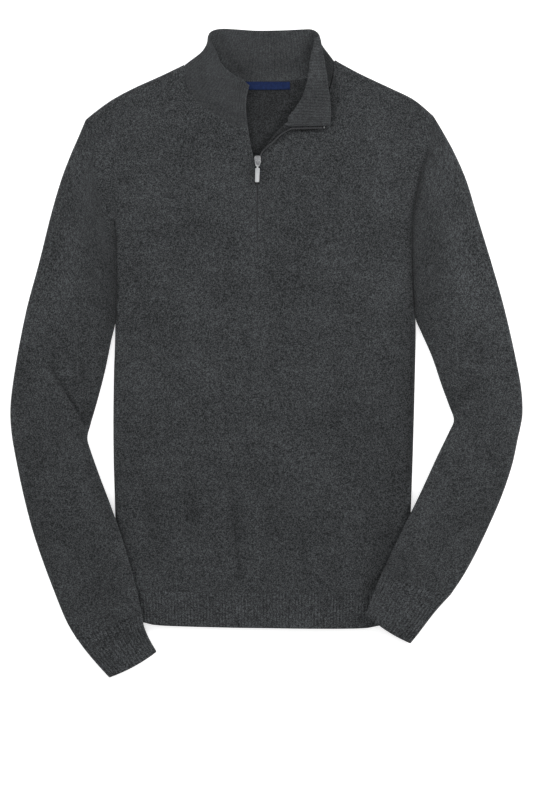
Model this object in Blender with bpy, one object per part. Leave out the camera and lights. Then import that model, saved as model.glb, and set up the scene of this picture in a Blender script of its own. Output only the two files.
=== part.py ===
"""Quarter-zip knitted sweater, laid flat with its front up.

Every length is in millimetres until a mesh is made. X runs across the garment, Y from the hem
to the neck, Z up from the surface that it lies on. Left is -X and right is +X, as the front is
seen. The origin is at the middle of the garment's plan, on the surface.

Each knitted piece is a wall. Its middle surface is worked out from the outlines below, and its
two faces lie half a wall to either side.
"""

import math

import bpy
import bmesh
import numpy as np
from mathutils import Matrix, Vector

MM = 0.001

# Cloth
WALL = 2.0
SEAM_GAP = 0.3
SEAM_EASE = 0.5            # the same, where two curved edges are cut into straight steps
ARMHOLE_EASE = 1.0         # the same, along the armhole's tighter curve
CUFF_EASE = 0.75           # from a sleeve's end to its cuff, whose slopes differ a little
RIB_RELIEF = 0.35          # a rib's crest above, and its groove below, the plain face
HEM_RIBS = 88
CUFF_RIBS = 18             # across the upper side of a cuff
COLLAR_RIBS = 100

# Heights above the surface
BACK_MID = WALL / 2
FRONT_RIM = WALL + SEAM_GAP            # the front's turned-down side ends here, over the back
EDGE_TOP = 6.4                         # top of the fold along a side seam
CROWN = 1.2                            # what the middle of the front adds to that
CROWN_REACH = 60.0
SIDE_ROLL = 4.6                        # how far in from the side the fold has risen
SIDE_INSET = 1.2                       # the back stays this far inside the front's rounded side
SEAM_DIP = 0.9                         # how far an armhole seam sinks into the cloth
SEAM_DIP_REACH = 6.0
SLEEVE_TOP = 8.0
CUFF_TOP = 7.6
SLEEVE_CLEARANCE = 1.1
DRAPE_REACH = 32.0                     # a sleeve climbs onto the body over this distance
ARMHOLE_END = 0.009                    # share of the armhole taken up by the wall at either end
ARMHOLE_FADE = 0.16                    # share of a sleeve over which its rows straighten

# Plan of the body: (x, y), from the hem up
SIDE_LEFT = [(-176.3, -288.0), (-180.6, -262.0), (-183.2, -228.0), (-184.6, -180.0), (-186.0, -136.0),
             (-186.6, -84.0), (-186.0, -25.0), (-184.5, 30.0), (-184.4, 160.5)]
SIDE_RIGHT = [(168.4, -289.0), (171.4, -262.0), (174.0, -228.0), (176.2, -180.0), (178.8, -106.0),
              (180.8, -33.5), (182.0, 25.0), (180.7, 64.0), (178.5, 112.0), (178.0, 165.0)]
ARMHOLE_LEFT = [(-184.4, 160.5), (-199.5, 173.0), (-206.8, 199.5), (-211.6, 224.0), (-210.5, 244.0),
                (-208.0, 259.0)]
ARMHOLE_RIGHT = [(178.0, 165.0), (183.6, 196.0), (187.3, 216.5), (194.6, 237.0), (199.0, 250.0),
                 (200.7, 264.0)]
ARMHOLE_TOP_LEFT = [(-208.0, 259.0), (-213.4, 272.4), (-220.4, 284.9)]
ARMHOLE_TOP_RIGHT = [(200.7, 264.0), (202.2, 276.0), (203.5, 289.3)]
SHOULDER_LEFT = [(-220.4, 284.9), (-210.0, 293.4), (-189.7, 308.1), (-162.9, 322.7), (-129.9, 337.6),
                 (-100.6, 351.6)]
SHOULDER_RIGHT = [(203.5, 289.3), (180.0, 308.9), (151.9, 322.9), (117.7, 338.9), (97.0, 349.8),
                  (83.5, 357.4)]
SHOULDER_SEAM_LEFT = [(-208.0, 259.0), (-189.7, 266.6), (-153.1, 277.9), (-119.0, 289.0), (-80.0, 301.5)]
SHOULDER_SEAM_RIGHT = [(200.7, 264.0), (184.8, 270.2), (148.2, 280.0), (112.0, 292.5), (69.0, 309.5)]
NECK_FRONT_LEFT = [(-80.0, 301.5), (-67.5, 293.5), (-52.0, 284.0), (-38.0, 276.6), (-22.6, 273.6)]
NECK_FRONT_RIGHT = [(69.0, 309.5), (57.0, 300.5), (46.0, 291.5), (36.5, 284.0), (29.0, 279.0)]
NECK_SIDE_LEFT = [(-98.8, 327.6), (-91.6, 314.6)]
NECK_SIDE_RIGHT = [(81.0, 336.0), (76.5, 321.0)]
NECK_BACK = [(-84.8, 342.2), (-62.8, 336.0), (-32.3, 332.4), (-3.0, 331.6), (28.7, 332.4), (50.6, 336.0),
             (69.0, 343.5)]
HEM_TOP = [(-176.3, -288.0), (-95.0, -292.0), (0.0, -293.0), (95.0, -292.5), (168.4, -289.0)]
HEM_BOTTOM = [(-172.6, -322.7), (-150.7, -329.6), (-123.8, -333.6), (-27.4, -336.2), (100.0, -337.2),
              (136.0, -333.9), (165.3, -325.1)]

# Zip opening: closed from SLIT_END up to the slider, open above it
SLIT_LEFT_X = -11.9
SLIT_RIGHT_X = -10.9
SLIT_END_Y = 131.0
SLIDER_Y = 224.0
V_LEFT_LOW = [(-11.9, 224.0), (-14.4, 233.0), (-16.6, 241.0)]
V_LEFT = [(-16.6, 241.0), (-18.9, 251.0), (-20.8, 262.0), (-22.6, 273.6)]
V_RIGHT_LOW = [(-10.9, 224.0), (-8.4, 232.0), (-5.2, 241.0)]
V_FOLD = [(-5.2, 241.0), (-2.6, 247.6), (4.0, 258.6), (13.4, 270.2), (21.6, 277.6)]
V_FLAP_EDGE = [(-3.4, 241.6), (2.0, 250.4), (8.6, 260.0), (17.5, 268.4), (27.6, 273.8)]
V_ROLL = 1.6                           # radius of the turned edge, at mid wall
V_TURN_SHARE = 0.5                     # the edge has turned right over by this share of the fold
V_TURN_STEPS = 5

# Breaks along the rows and columns of the front, as shares from hem to neck and side to zip
ROW_SLIT_END = 0.745
ROW_UNDERARM = 0.815
ROW_SLIDER = 0.90
ROW_OPEN = 0.93
ROW_SHOULDER_SEAM = 0.95               # on the back, whose armhole goes on up to the shoulder
COLUMN_NECK = 0.68
COLUMN_NECK_BACK = (0.30, 0.70)

# Sleeves, station by station: outer and inner edge of the flattened tube in plan
SLEEVE_FIELDS = ("outer_x", "outer_y", "inner_x", "inner_y")
SLEEVE_LEFT = [
    (-220.4, 284.9, -185.4, 161.2),
    (-229.2, 264.1, -185.6, 142.1),
    (-239.7, 239.7, -185.6, 117.7),
    (-250.7, 210.4, -185.6, 93.3),
    (-262.9, 169.0, -185.6, 64.0),
    (-277.6, 110.4, -186.2, 37.2),
    (-292.2, 56.7, -189.9, 12.8),
    (-303.2, 3.0, -197.4, -23.8),
    (-310.6, -43.3, -206.9, -60.4),
    (-313.0, -72.6, -214.9, -88.0),
    (-311.3, -99.4, -218.6, -104.5),
    (-306.8, -126.3, -214.3, -121.0),
    (-298.3, -167.8, -203.1, -151.9),
    (-287.3, -211.7, -188.5, -189.7),
    (-275.1, -249.5, -174.5, -231.2),
    (-259.2, -292.2, -162.3, -273.9),
    (-244.6, -327.6, -154.6, -304.4),
    (-231.2, -350.8, -152.0, -318.0),
]
SLEEVE_RIGHT = [
    (204.5, 289.3, 179.2, 165.0),
    (214.5, 272.0, 179.6, 142.1),
    (228.7, 245.6, 180.0, 117.7),
    (243.9, 210.4, 181.1, 93.3),
    (256.5, 169.0, 182.7, 64.0),
    (274.6, 110.4, 184.2, 42.1),
    (289.9, 56.7, 189.1, 24.2),
    (302.4, 3.0, 202.2, -5.3),
    (310.8, -40.9, 213.4, -38.4),
    (312.8, -72.6, 223.3, -65.3),
    (310.0, -92.1, 228.8, -82.3),
    (307.2, -104.3, 223.0, -97.0),
    (300.4, -136.0, 208.8, -126.3),
    (289.2, -170.2, 191.1, -164.1),
    (275.9, -201.9, 172.6, -201.9),
    (257.6, -240.9, 154.0, -240.5),
    (241.0, -271.4, 144.6, -260.7),
    (224.0, -297.1, 139.7, -270.2),
]
CUFF_LEFT = [(-231.2, -350.8, -152.0, -318.0), (-220.2, -365.4, -148.6, -334.6),
             (-206.8, -381.2, -142.2, -350.6), (-192.2, -397.1, -134.0, -365.4)]
CUFF_RIGHT = [(224.0, -297.1, 139.7, -270.2), (208.5, -314.1, 132.8, -286.6),
              (192.8, -334.0, 126.4, -303.0), (176.0, -355.6, 120.2, -319.0)]
CUFF_BOW = 2.5                         # how far the middle of a cuff's end stands out

# Soft folds pressed into the cloth: a line in plan, half width and height (a trough is negative)
FOLD_FIELDS = ("x0", "y0", "x1", "y1", "half_width", "height")
BODY_FOLDS = [
    (-42.0, -155.0, -32.0, -280.0, 9.0, -0.9),
    (-136.0, -120.0, -136.0, -262.0, 8.0, -0.6),
    (-87.0, -150.0, -87.0, -270.0, 9.0, 0.5),
    (10.0, -140.0, 12.0, -272.0, 9.0, 0.5),
    (46.0, -180.0, 49.0, -274.0, 8.0, -0.6),
    (84.0, 20.0, 86.0, -160.0, 12.0, -0.5),
]
SLEEVE_FOLDS = [
    (-270.0, 2.0, -265.0, -22.0, 7.0, -1.0),
    (-265.0, -22.0, -236.0, -63.0, 7.0, -1.3),
    (-236.0, -63.0, -222.0, -90.0, 7.0, -1.3),
    (-229.0, -15.0, -224.0, -72.0, 6.0, -0.9),
    (247.0, -42.0, 226.0, -78.0, 7.0, -1.3),
    (281.0, -30.0, 248.0, -66.0, 8.0, -0.8),
]

# Collar, station by station from the left end of the zip round the back of the neck to the right
# end. "seam" is on the neck seam and "top" on the free edge. A "folded" station turns over
# at "fold"; a "turned" one lies wholly on the turned-over side.
COLLAR_FIELDS = ("kind", "seam_x", "seam_y", "seam_z", "fold_x", "fold_y", "fold_z",
                 "top_x", "top_y", "top_z")
COLLAR = [
    ("flat", -22.3, 274.6, 6.6, 0, 0, 0, -20.8, 325.8, 8.8),
    ("flat", -37.6, 277.6, 6.6, 0, 0, 0, -29.0, 332.4, 9.0),
    ("flat", -51.5, 285.0, 6.6, 0, 0, 0, -36.4, 336.6, 9.2),
    ("flat", -67.0, 294.4, 6.6, 0, 0, 0, -44.0, 341.6, 9.2),
    ("flat", -79.2, 302.4, 6.5, 0, 0, 0, -50.8, 347.4, 9.2),
    ("flat", -90.4, 315.4, 6.2, 0, 0, 0, -56.2, 354.6, 9.2),
    ("flat", -96.6, 328.0, 5.7, 0, 0, 0, -60.2, 364.5, 8.8),
    ("flat", -98.2, 340.0, 5.1, 0, 0, 0, -65.0, 374.6, 7.8),
    ("flat", -98.6, 351.0, 3.5, 0, 0, 0, -70.2, 385.2, 5.4),
    ("flat", -95.4, 349.0, 1.5, 0, 0, 0, -66.6, 393.0, 2.6),
    ("flat", -84.2, 343.3, 1.0, 0, 0, 0, -55.0, 395.9, 1.0),
    ("flat", -62.6, 336.8, 1.0, 0, 0, 0, -36.0, 395.1, 1.0),
    ("flat", -32.3, 333.2, 1.0, 0, 0, 0, -19.0, 394.0, 1.0),
    ("flat", -3.0, 332.4, 1.0, 0, 0, 0, -1.0, 393.6, 1.0),
    ("flat", 28.7, 333.2, 1.0, 0, 0, 0, 22.0, 394.2, 1.0),
    ("flat", 50.4, 337.4, 1.0, 0, 0, 0, 42.0, 395.2, 1.0),
    ("flat", 68.0, 344.8, 1.2, 0, 0, 0, 57.0, 394.4, 2.6),
    ("folded", 81.0, 356.0, 3.4, 60.5, 383.4, 6.6, 65.2, 384.4, 9.0),
    ("folded", 80.6, 344.2, 5.2, 57.6, 370.4, 9.4, 68.2, 368.0, 11.2),
    ("folded", 78.6, 334.0, 6.0, 54.0, 353.2, 9.9, 71.0, 354.4, 11.4),
    ("folded", 74.8, 322.0, 6.4, 52.0, 337.4, 9.9, 73.6, 338.4, 11.2),
    ("folded", 68.2, 311.0, 6.6, 48.8, 323.8, 9.9, 75.2, 323.8, 10.8),
    ("folded", 56.4, 302.0, 6.6, 43.8, 310.4, 9.9, 77.6, 309.2, 10.6),
    ("folded", 45.8, 292.4, 6.6, 36.6, 297.0, 9.7, 78.6, 295.4, 10.6),
    ("folded", 36.0, 285.0, 6.6, 28.6, 285.8, 9.3, 78.2, 284.8, 10.6),
    ("turned", 22.6, 278.4, 8.3, 0, 0, 0, 77.8, 280.4, 10.6),
    ("turned", 28.4, 275.0, 10.0, 0, 0, 0, 77.4, 276.4, 10.6),
]
COLLAR_WAIST = {6: 0.7, 7: 3.0, 8: 7.0, 9: 6.5, 10: 3.0, 11: 0.7}  # stations that bend in, and how far
COLLAR_WAIST_SHAPE = (0.0, 0.6, 1.0, 0.8, 0.0)   # share of that at each control point
COLLAR_FOLD_HALF = 1.9                 # half the rise from the lower to the upper layer of the fold
COLLAR_FOLD_REACH = 3.2                # how far from the fold both layers are level again
COLLAR_ROWS = (0.0, 1.0, 1.6, 2.4, 3.0, 4.0)

# Zip
TAPE_THICK = 0.8
TAPE_WIDTH = 7.0
TAPE_EDGE = 2.0                        # what stands out past the turned edge
TAPE_CENTRE_GAP = 0.6
TAPE_EASE = 0.9                        # from the turned edge to the tape that follows it
TAPE_DEPTH = WALL + SEAM_GAP + TAPE_THICK / 2 + 0.1   # below the front's upper face
SLIDER_CENTRE = (-10.9, 233.8)
SLIDER_LENGTH = 12.8
SLIDER_WIDTH = 8.6
SLIDER_FOOT_WIDTH = 6.0
PLATE_THICK = 1.3
PLATE_BOTTOM = 8.2
NECK_WIDTH = 1.0
BRIDGE_WIDTH = 2.6
BRIDGE_LENGTH = 9.0
BRIDGE_RISE = 3.1
BRIDGE_THICK = 0.8
PIN_RADIUS = 0.5
PIN_HEIGHT = PLATE_BOTTOM + PLATE_THICK + 1.15
PULL_LENGTH = 26.2
PULL_WIDTH = 6.2
PULL_ARM = 1.2
PULL_OPENING = 8.4
PULL_THICK = 1.3
PULL_TAPER = 0.86                      # width of the tab's far end, as a share of its near end
PULL_DROOP = math.radians(3.5)

# Label inside the back of the neck
LABEL_LEFT, LABEL_RIGHT = -35.0, 28.7
LABEL_LOW, LABEL_HIGH = 321.6, 331.0
LABEL_THICK = 0.6

KNIT = ("heather_knit", (0.046, 0.050, 0.055), 0.95, 0.0)
RIB = ("heather_rib", (0.056, 0.060, 0.066), 0.92, 0.0)
TAPE = ("zip_tape", (0.020, 0.021, 0.024), 0.80, 0.0)
METAL = ("nickel", (0.74, 0.74, 0.73), 0.28, 1.0)
LABEL = ("navy_label", (0.012, 0.020, 0.055), 0.60, 0.0)


# --- curves and surfaces -------------------------------------------------------------------

def spline(points, count):
    """A smooth curve through points (Catmull-Rom), read at count even steps of its knots."""
    knots = np.asarray(points, float)
    if len(knots) < 3:
        share = np.linspace(0, 1, count)[:, None]
        return knots[0] * (1 - share) + knots[-1] * share
    padded = np.vstack([2 * knots[0] - knots[1], knots, 2 * knots[-1] - knots[-2]])
    at = np.linspace(0, len(knots) - 1, count)
    index = np.minimum(at.astype(int), len(knots) - 2)
    t = (at - index)[:, None]
    p0, p1, p2, p3 = (padded[index + k] for k in range(4))
    return 0.5 * (2 * p1 + (p2 - p0) * t + (2 * p0 - 5 * p1 + 4 * p2 - p3) * t**2
                  + (3 * p1 - p0 - 3 * p2 + p3) * t**3)


def by_length(points, shares):
    """Points at the given shares of the length of a dense curve."""
    points = np.asarray(points, float)
    steps = np.linalg.norm(np.diff(points, axis=0), axis=1)
    along = np.concatenate([[0], np.cumsum(steps)])
    at = np.asarray(shares, float) * along[-1]
    return np.stack([np.interp(at, along, points[:, k]) for k in range(points.shape[1])], axis=-1)


def path(points, shares):
    """A smooth curve through points, read at shares of its length."""
    return by_length(spline(points, 24 * len(points)), shares)


def chain(stretches, breaks, shares):
    """Stretches of curve laid end to end; breaks are the shares at which one gives way to the next."""
    shares = np.asarray(shares, float)
    ends = [0.0, *breaks, 1.0]
    out = np.zeros((len(shares), 2))
    for stretch, low, high in zip(stretches, ends[:-1], ends[1:]):
        inside = (shares >= low - 1e-9) & (shares <= high + 1e-9)
        out[inside] = path(stretch, (shares[inside] - low) / (high - low))
    return out


def coons(bottom, top, first, last, columns, rows):
    """A plan grid (row, column, xy) filled in between four edges."""
    u = np.asarray(columns)[None, :, None]
    v = np.asarray(rows)[:, None, None]
    ruled = (1 - v) * bottom[None] + v * top[None] + (1 - u) * first[:, None] + u * last[:, None]
    corners = ((1 - u) * (1 - v) * bottom[0] + u * (1 - v) * bottom[-1]
               + (1 - u) * v * top[0] + u * v * top[-1])
    return ruled - corners


def smoothstep(value):
    value = np.clip(value, 0.0, 1.0)
    return value * value * (3 - 2 * value)


def normals(grid):
    """Unit normals of a grid of points, upward where the rows run away from the columns."""
    along_rows = np.gradient(grid, axis=0)
    along_columns = np.gradient(grid, axis=1)
    cross = np.cross(along_columns, along_rows)
    return cross / np.maximum(np.linalg.norm(cross, axis=-1, keepdims=True), 1e-9)


# --- heights -------------------------------------------------------------------------------

def outline_x(sides, y):
    """Where a side of the body is, at height y on the plan."""
    points = spline(sides, 200)
    order = np.argsort(points[:, 1])
    return np.interp(y, points[order, 1], points[order, 0])


HEM_SIDE_LEFT = [(-172.6, -322.7), SIDE_LEFT[0]]
HEM_SIDE_RIGHT = [(165.3, -325.1), SIDE_RIGHT[0]]
BODY_LEFT = [HEM_SIDE_LEFT[0], *SIDE_LEFT[:-1], *ARMHOLE_LEFT]
BODY_RIGHT = [HEM_SIDE_RIGHT[0], *SIDE_RIGHT[:-1], *ARMHOLE_RIGHT]


def fold_height(x, y, folds):
    """The sum of the soft folds at a point of the plan."""
    total = np.zeros(np.broadcast(x, y).shape)
    for x0, y0, x1, y1, half_width, height in folds:
        length = math.hypot(x1 - x0, y1 - y0)
        ux, uy = (x1 - x0) / length, (y1 - y0) / length
        along = ((x - x0) * ux + (y - y0) * uy) / length
        across = (x - x0) * -uy + (y - y0) * ux
        ends = smoothstep((along + 0.25) / 0.4) * smoothstep((1.25 - along) / 0.4)
        total = total + height * ends * np.exp(-(across / half_width) ** 2)
    return total


def side_distance(x, y):
    """How far inside the nearer side of the body a point is."""
    return np.minimum(x - outline_x(BODY_LEFT, y), outline_x(BODY_RIGHT, y) - x)


def body_top(x, y):
    """Height of the body's upper face, leaving out the fold down at its sides."""
    inside = np.maximum(side_distance(x, y), 0.0)
    armhole = smoothstep((y - 150.0) / 20.0)
    dip = SEAM_DIP * armhole * np.exp(-(inside / SEAM_DIP_REACH) ** 2)
    return EDGE_TOP + CROWN * smoothstep(inside / CROWN_REACH) - dip + fold_height(x, y, BODY_FOLDS)


def floor_under_sleeve(x, y):
    """What a sleeve rests on: the surface, or the body where it lies across it."""
    hem_y = outline_x([(b, a) for a, b in HEM_BOTTOM], x)
    inside = np.minimum(side_distance(x, y), y - hem_y)
    on_body = smoothstep((inside + DRAPE_REACH) / (DRAPE_REACH - 1.5))
    edge_x = np.clip(x, outline_x(BODY_LEFT, y), outline_x(BODY_RIGHT, y))
    below_arm = smoothstep((-90.0 - y) / 40.0)
    return below_arm * on_body * (body_top(edge_x, np.maximum(y, -320.0)) + RIB_RELIEF + SLEEVE_CLEARANCE)


# --- meshes --------------------------------------------------------------------------------

def material(finish):
    name, colour, roughness, metallic = finish
    found = bpy.data.materials.get(name) or bpy.data.materials.new(name)
    found.use_nodes = True
    shader = found.node_tree.nodes["Principled BSDF"]
    shader.inputs["Base Color"].default_value = (*colour, 1)
    shader.inputs["Roughness"].default_value = roughness
    shader.inputs["Metallic"].default_value = metallic
    return found


def add_object(name, mesh, finish):
    thing = bpy.data.objects.new(name, mesh)
    bpy.context.scene.collection.objects.link(thing)
    mesh.materials.append(material(finish))
    return thing


def wall(name, outer, inner, finish, closed=False, present=None, same=None):
    """One closed solid between two grids of points (row, column, xyz).

    closed joins the last column to the first. present(row, column) says which cells exist.
    same(row, column) names the grid place whose point this place shares.
    """
    rows, columns = outer.shape[:2]
    span = columns if closed else columns - 1
    place = same or (lambda i, j: (i, j))
    corners = [[place(i + a, (j + b) % columns) for a, b in ((0, 0), (0, 1), (1, 1), (1, 0))]
               for i in range(rows - 1) for j in range(span) if present is None or present(i, j)]
    corners = [cell for cell in corners if len(set(cell)) == 4]
    used = sorted({corner for cell in corners for corner in cell})
    number = {corner: k for k, corner in enumerate(used)}
    points = [outer[c] for c in used] + [inner[c] for c in used]
    count = len(used)
    faces, edges = [], {}
    for cell in corners:
        a, b, c, d = (number[corner] for corner in cell)
        faces.append((a, b, c, d))
        faces.append((d + count, c + count, b + count, a + count))
        for start, end in ((a, b), (b, c), (c, d), (d, a)):
            edges[start, end] = True
    for start, end in edges:
        if (end, start) not in edges:
            faces.append((end, start, start + count, end + count))
    mesh = bpy.data.meshes.new(name)
    mesh.from_pydata([tuple(point * MM) for point in points], [], faces)
    mesh.update()
    thing = add_object(name, mesh, finish)
    face_outward(mesh)
    mesh.shade_smooth()
    mesh.set_sharp_from_angle(angle=math.radians(40))
    return thing


def face_outward(mesh):
    body = bmesh.new()
    body.from_mesh(mesh)
    bmesh.ops.recalc_face_normals(body, faces=body.faces)
    if body.calc_volume(signed=True) < 0:
        bmesh.ops.reverse_faces(body, faces=body.faces)
    body.to_mesh(mesh)
    body.free()


def faces_of(middle, relief):
    """The two faces of a wall about its middle surface; relief is added to the upper one."""
    up = normals(middle)
    return middle + up * (WALL / 2 + relief[..., None]), middle - up * WALL / 2


# --- back ----------------------------------------------------------------------------------

NOSE = (EDGE_TOP - WALL) / 2           # radius of the shoulder fold, at mid wall
NOSE_ANGLES = (-60.0, -20.0, 20.0, 60.0)
FLAP_ROWS = (0.0, 0.35, 0.7, 1.0)


def shoulder_lines(shoulder, seam, shares):
    """Middle line of a shoulder fold, the way in to its seam, and the edge just short of it."""
    edge = path(shoulder, shares)
    joined = path(seam, shares)
    inward = joined - edge
    inward /= np.linalg.norm(inward, axis=1, keepdims=True)
    return edge + inward * (NOSE + WALL / 2), inward, joined - inward * SEAM_EASE


def make_back():
    """The back lies flat, and wraps over both shoulders to a seam on the front."""
    side_shares = [0.0, 0.08, 0.16, *np.linspace(0.3, 0.9, 4), 1.0]
    left = np.array(side_shares) * COLUMN_NECK_BACK[0]
    right = 1 - left[::-1]
    middle = np.linspace(*COLUMN_NECK_BACK, 9)[1:-1]
    columns = np.concatenate([left, middle, right])
    n_left, n_right = len(left), len(right)
    shares_left = left / COLUMN_NECK_BACK[0]
    shares_right = (1 - right) / (1 - COLUMN_NECK_BACK[1])
    core_l, in_l, seam_l = shoulder_lines(SHOULDER_LEFT, SHOULDER_SEAM_LEFT, shares_left)
    core_r, in_r, seam_r = shoulder_lines(SHOULDER_RIGHT, SHOULDER_SEAM_RIGHT, shares_right)
    neck = [core_l[-1], *NECK_BACK, core_r[0]]
    neck_shares = (middle - COLUMN_NECK_BACK[0]) / (COLUMN_NECK_BACK[1] - COLUMN_NECK_BACK[0])
    top = np.vstack([core_l, path(neck, neck_shares), core_r])
    rows = np.concatenate([
        np.linspace(0, ROW_UNDERARM, 9),
        np.linspace(ROW_UNDERARM, ROW_SHOULDER_SEAM, 9)[1:],
        np.linspace(ROW_SHOULDER_SEAM, 1, 4)[1:],
    ])
    up_left = [*ARMHOLE_TOP_LEFT[:-1], core_l[0]]
    up_right = [*ARMHOLE_TOP_RIGHT[:-1], core_r[-1]]
    first = chain([SIDE_LEFT, ARMHOLE_LEFT, up_left], [ROW_UNDERARM, ROW_SHOULDER_SEAM], rows)
    last = chain([SIDE_RIGHT, ARMHOLE_RIGHT, up_right], [ROW_UNDERARM, ROW_SHOULDER_SEAM], rows)
    inset = np.where(rows < ROW_UNDERARM, SIDE_INSET, 0.0)
    first[:, 0] += inset
    last[:, 0] -= inset
    bottom = path(HEM_TOP, columns)
    plan = coons(bottom, top, first, last, columns, rows)
    flat = np.dstack([plan, np.full(plan.shape[:2], BACK_MID)])

    def over_shoulder(core, inward, seam, sides):
        """Rows that go round the fold and down the front to the seam."""
        centre_z = BACK_MID + NOSE
        layers = []
        for angle in NOSE_ANGLES:
            turn = math.radians(angle)
            xy = core - inward * NOSE * math.cos(turn)
            layers.append(np.column_stack([xy, np.full(len(xy), centre_z + NOSE * math.sin(turn))]))
        shares = np.linspace(0, 1, len(core))
        flap = coons(core, seam, *sides, shares, FLAP_ROWS)
        for row in flap:
            height = np.full(len(row), EDGE_TOP - WALL / 2)
            blend = np.linalg.norm(row - core, axis=1) / 30.0
            goal = body_top(row[:, 0], row[:, 1]) - WALL / 2
            layers.append(np.column_stack([row, height + (goal - height) * smoothstep(blend)]))
        return np.array(layers)

    side_l = path([core_l[0], ARMHOLE_TOP_LEFT[1], seam_l[0]], FLAP_ROWS)
    neck_l = path([core_l[-1], *NECK_SIDE_LEFT, seam_l[-1]], FLAP_ROWS)
    side_r = path([core_r[-1], ARMHOLE_TOP_RIGHT[1], seam_r[-1]], FLAP_ROWS)
    neck_r = path([core_r[0], *NECK_SIDE_RIGHT, seam_r[0]], FLAP_ROWS)
    flap_l = over_shoulder(core_l, in_l, seam_l, (side_l, neck_l))
    flap_r = over_shoulder(core_r, in_r, seam_r, (neck_r, side_r))
    extra = len(NOSE_ANGLES) + len(FLAP_ROWS)
    whole = np.zeros((len(rows) + extra, len(columns), 3))
    whole[:len(rows)] = flat
    whole[len(rows):, :n_left] = flap_l
    whole[len(rows):, -n_right:] = flap_r
    up = np.zeros_like(whole)
    up[:len(rows)] = (0, 0, 1)
    up[len(rows):, :n_left] = normals(whole[:, :n_left])[len(rows):]
    up[len(rows):, -n_right:] = normals(whole[:, -n_right:])[len(rows):]

    def present(i, j):
        return i < len(rows) - 1 or j < n_left - 1 or j >= len(columns) - n_right

    return wall("back", whole + up * WALL / 2, whole - up * WALL / 2, KNIT, present=present)


# --- front ---------------------------------------------------------------------------------

ROW_STEP = 1e-6                        # less than any step between rows
ROWS = np.concatenate([
    np.linspace(0, ROW_SLIT_END, 12),
    np.linspace(ROW_SLIT_END, ROW_UNDERARM, 3)[1:],
    np.linspace(ROW_UNDERARM, ROW_SLIDER, 7)[1:],
    np.linspace(ROW_SLIDER, ROW_OPEN, 3)[1:],
    np.linspace(ROW_OPEN, 1, 7)[1:],
])
COLUMNS = np.concatenate([
    [0.0, 0.006, 0.016, 0.03],
    np.linspace(0.08, COLUMN_NECK, 6),
    np.linspace(COLUMN_NECK, 1, 6)[1:],
])
CENTRE_X = (SLIT_LEFT_X + SLIT_RIGHT_X) / 2


def turned_down(middle, sides):
    """Bend the side edge of a front grid down to the back, below the underarm."""
    distance = np.linalg.norm(middle[..., :2] - sides[:, None, :], axis=2)
    below = (ROWS < ROW_UNDERARM - ROW_STEP)[:, None]
    rise = np.sqrt(1 - (1 - np.clip(distance / SIDE_ROLL, 0, 1)) ** 2)
    bent = FRONT_RIM + (middle[..., 2] - FRONT_RIM) * rise
    middle[..., 2] = np.where(below, bent, middle[..., 2])
    return middle


def front_half(side, armhole, seam, neck, slit_x, v_low, v_high):
    """Middle surface of one half of the front, from its side edge (column 0) to the zip."""
    inward = 1.0 if slit_x > side[0][0] else -1.0
    first = chain([side, armhole], [ROW_UNDERARM], ROWS)
    first[:, 0] += np.where(ROWS < ROW_UNDERARM - ROW_STEP, inward * WALL / 2, 0.0)
    centre_low = [(CENTRE_X, HEM_TOP[2][1]), (CENTRE_X, SLIT_END_Y)]
    last = chain([centre_low, [(slit_x, SLIT_END_Y), v_low[0]], v_low, v_high],
                 [ROW_SLIT_END, ROW_SLIDER, ROW_OPEN], ROWS)
    last[ROWS < ROW_SLIT_END + ROW_STEP, 0] = CENTRE_X
    hem = sorted((p for p in HEM_TOP if min(side[0][0], CENTRE_X) < p[0] < max(side[0][0], CENTRE_X)),
                 key=lambda p: p[0] * inward)
    bottom = path([side[0], *hem, tuple(last[0])], COLUMNS)
    bottom[0] = first[0]
    top = chain([seam, neck], [COLUMN_NECK], COLUMNS)
    plan = coons(bottom, top, first, last, COLUMNS, ROWS)
    middle = np.dstack([plan, body_top(plan[..., 0], plan[..., 1]) - WALL / 2])
    return turned_down(middle, first)


def turned_edge(shares):
    """Where the right edge's roll starts, the way out from it, and the cloth that goes round it."""
    fold, flap = path(V_FOLD, shares), path(V_FLAP_EDGE, shares)
    outward = flap - fold
    width = np.linalg.norm(outward, axis=1)
    outward = outward / width[:, None]
    whole = math.pi * V_ROLL + np.maximum(width - V_ROLL - WALL / 2, 0.0)
    cloth = SEAM_GAP + whole * smoothstep(np.asarray(shares) / V_TURN_SHARE)
    reach = (V_ROLL + WALL / 2) * np.sin(np.minimum(cloth / V_ROLL, math.pi / 2))
    return fold + outward * reach[:, None], outward, cloth


def round_the_roll(base, outward, cloth):
    """A point this much cloth past the start of the roll (all arrays of the same length)."""
    turn = np.minimum(cloth / V_ROLL, math.pi)
    beyond = np.maximum(cloth - math.pi * V_ROLL, 0.0)
    out = base.copy()
    out[:, :2] += outward * (beyond - V_ROLL * np.sin(turn))[:, None]
    out[:, 2] += V_ROLL * (1 - np.cos(turn))
    return out


def front_right_edge():
    """The start of the roll along the open zip, as a curve for the right half's edge."""
    core, _, _ = turned_edge(np.linspace(0, 1, 9))
    return [tuple(point) for point in core]


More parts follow.
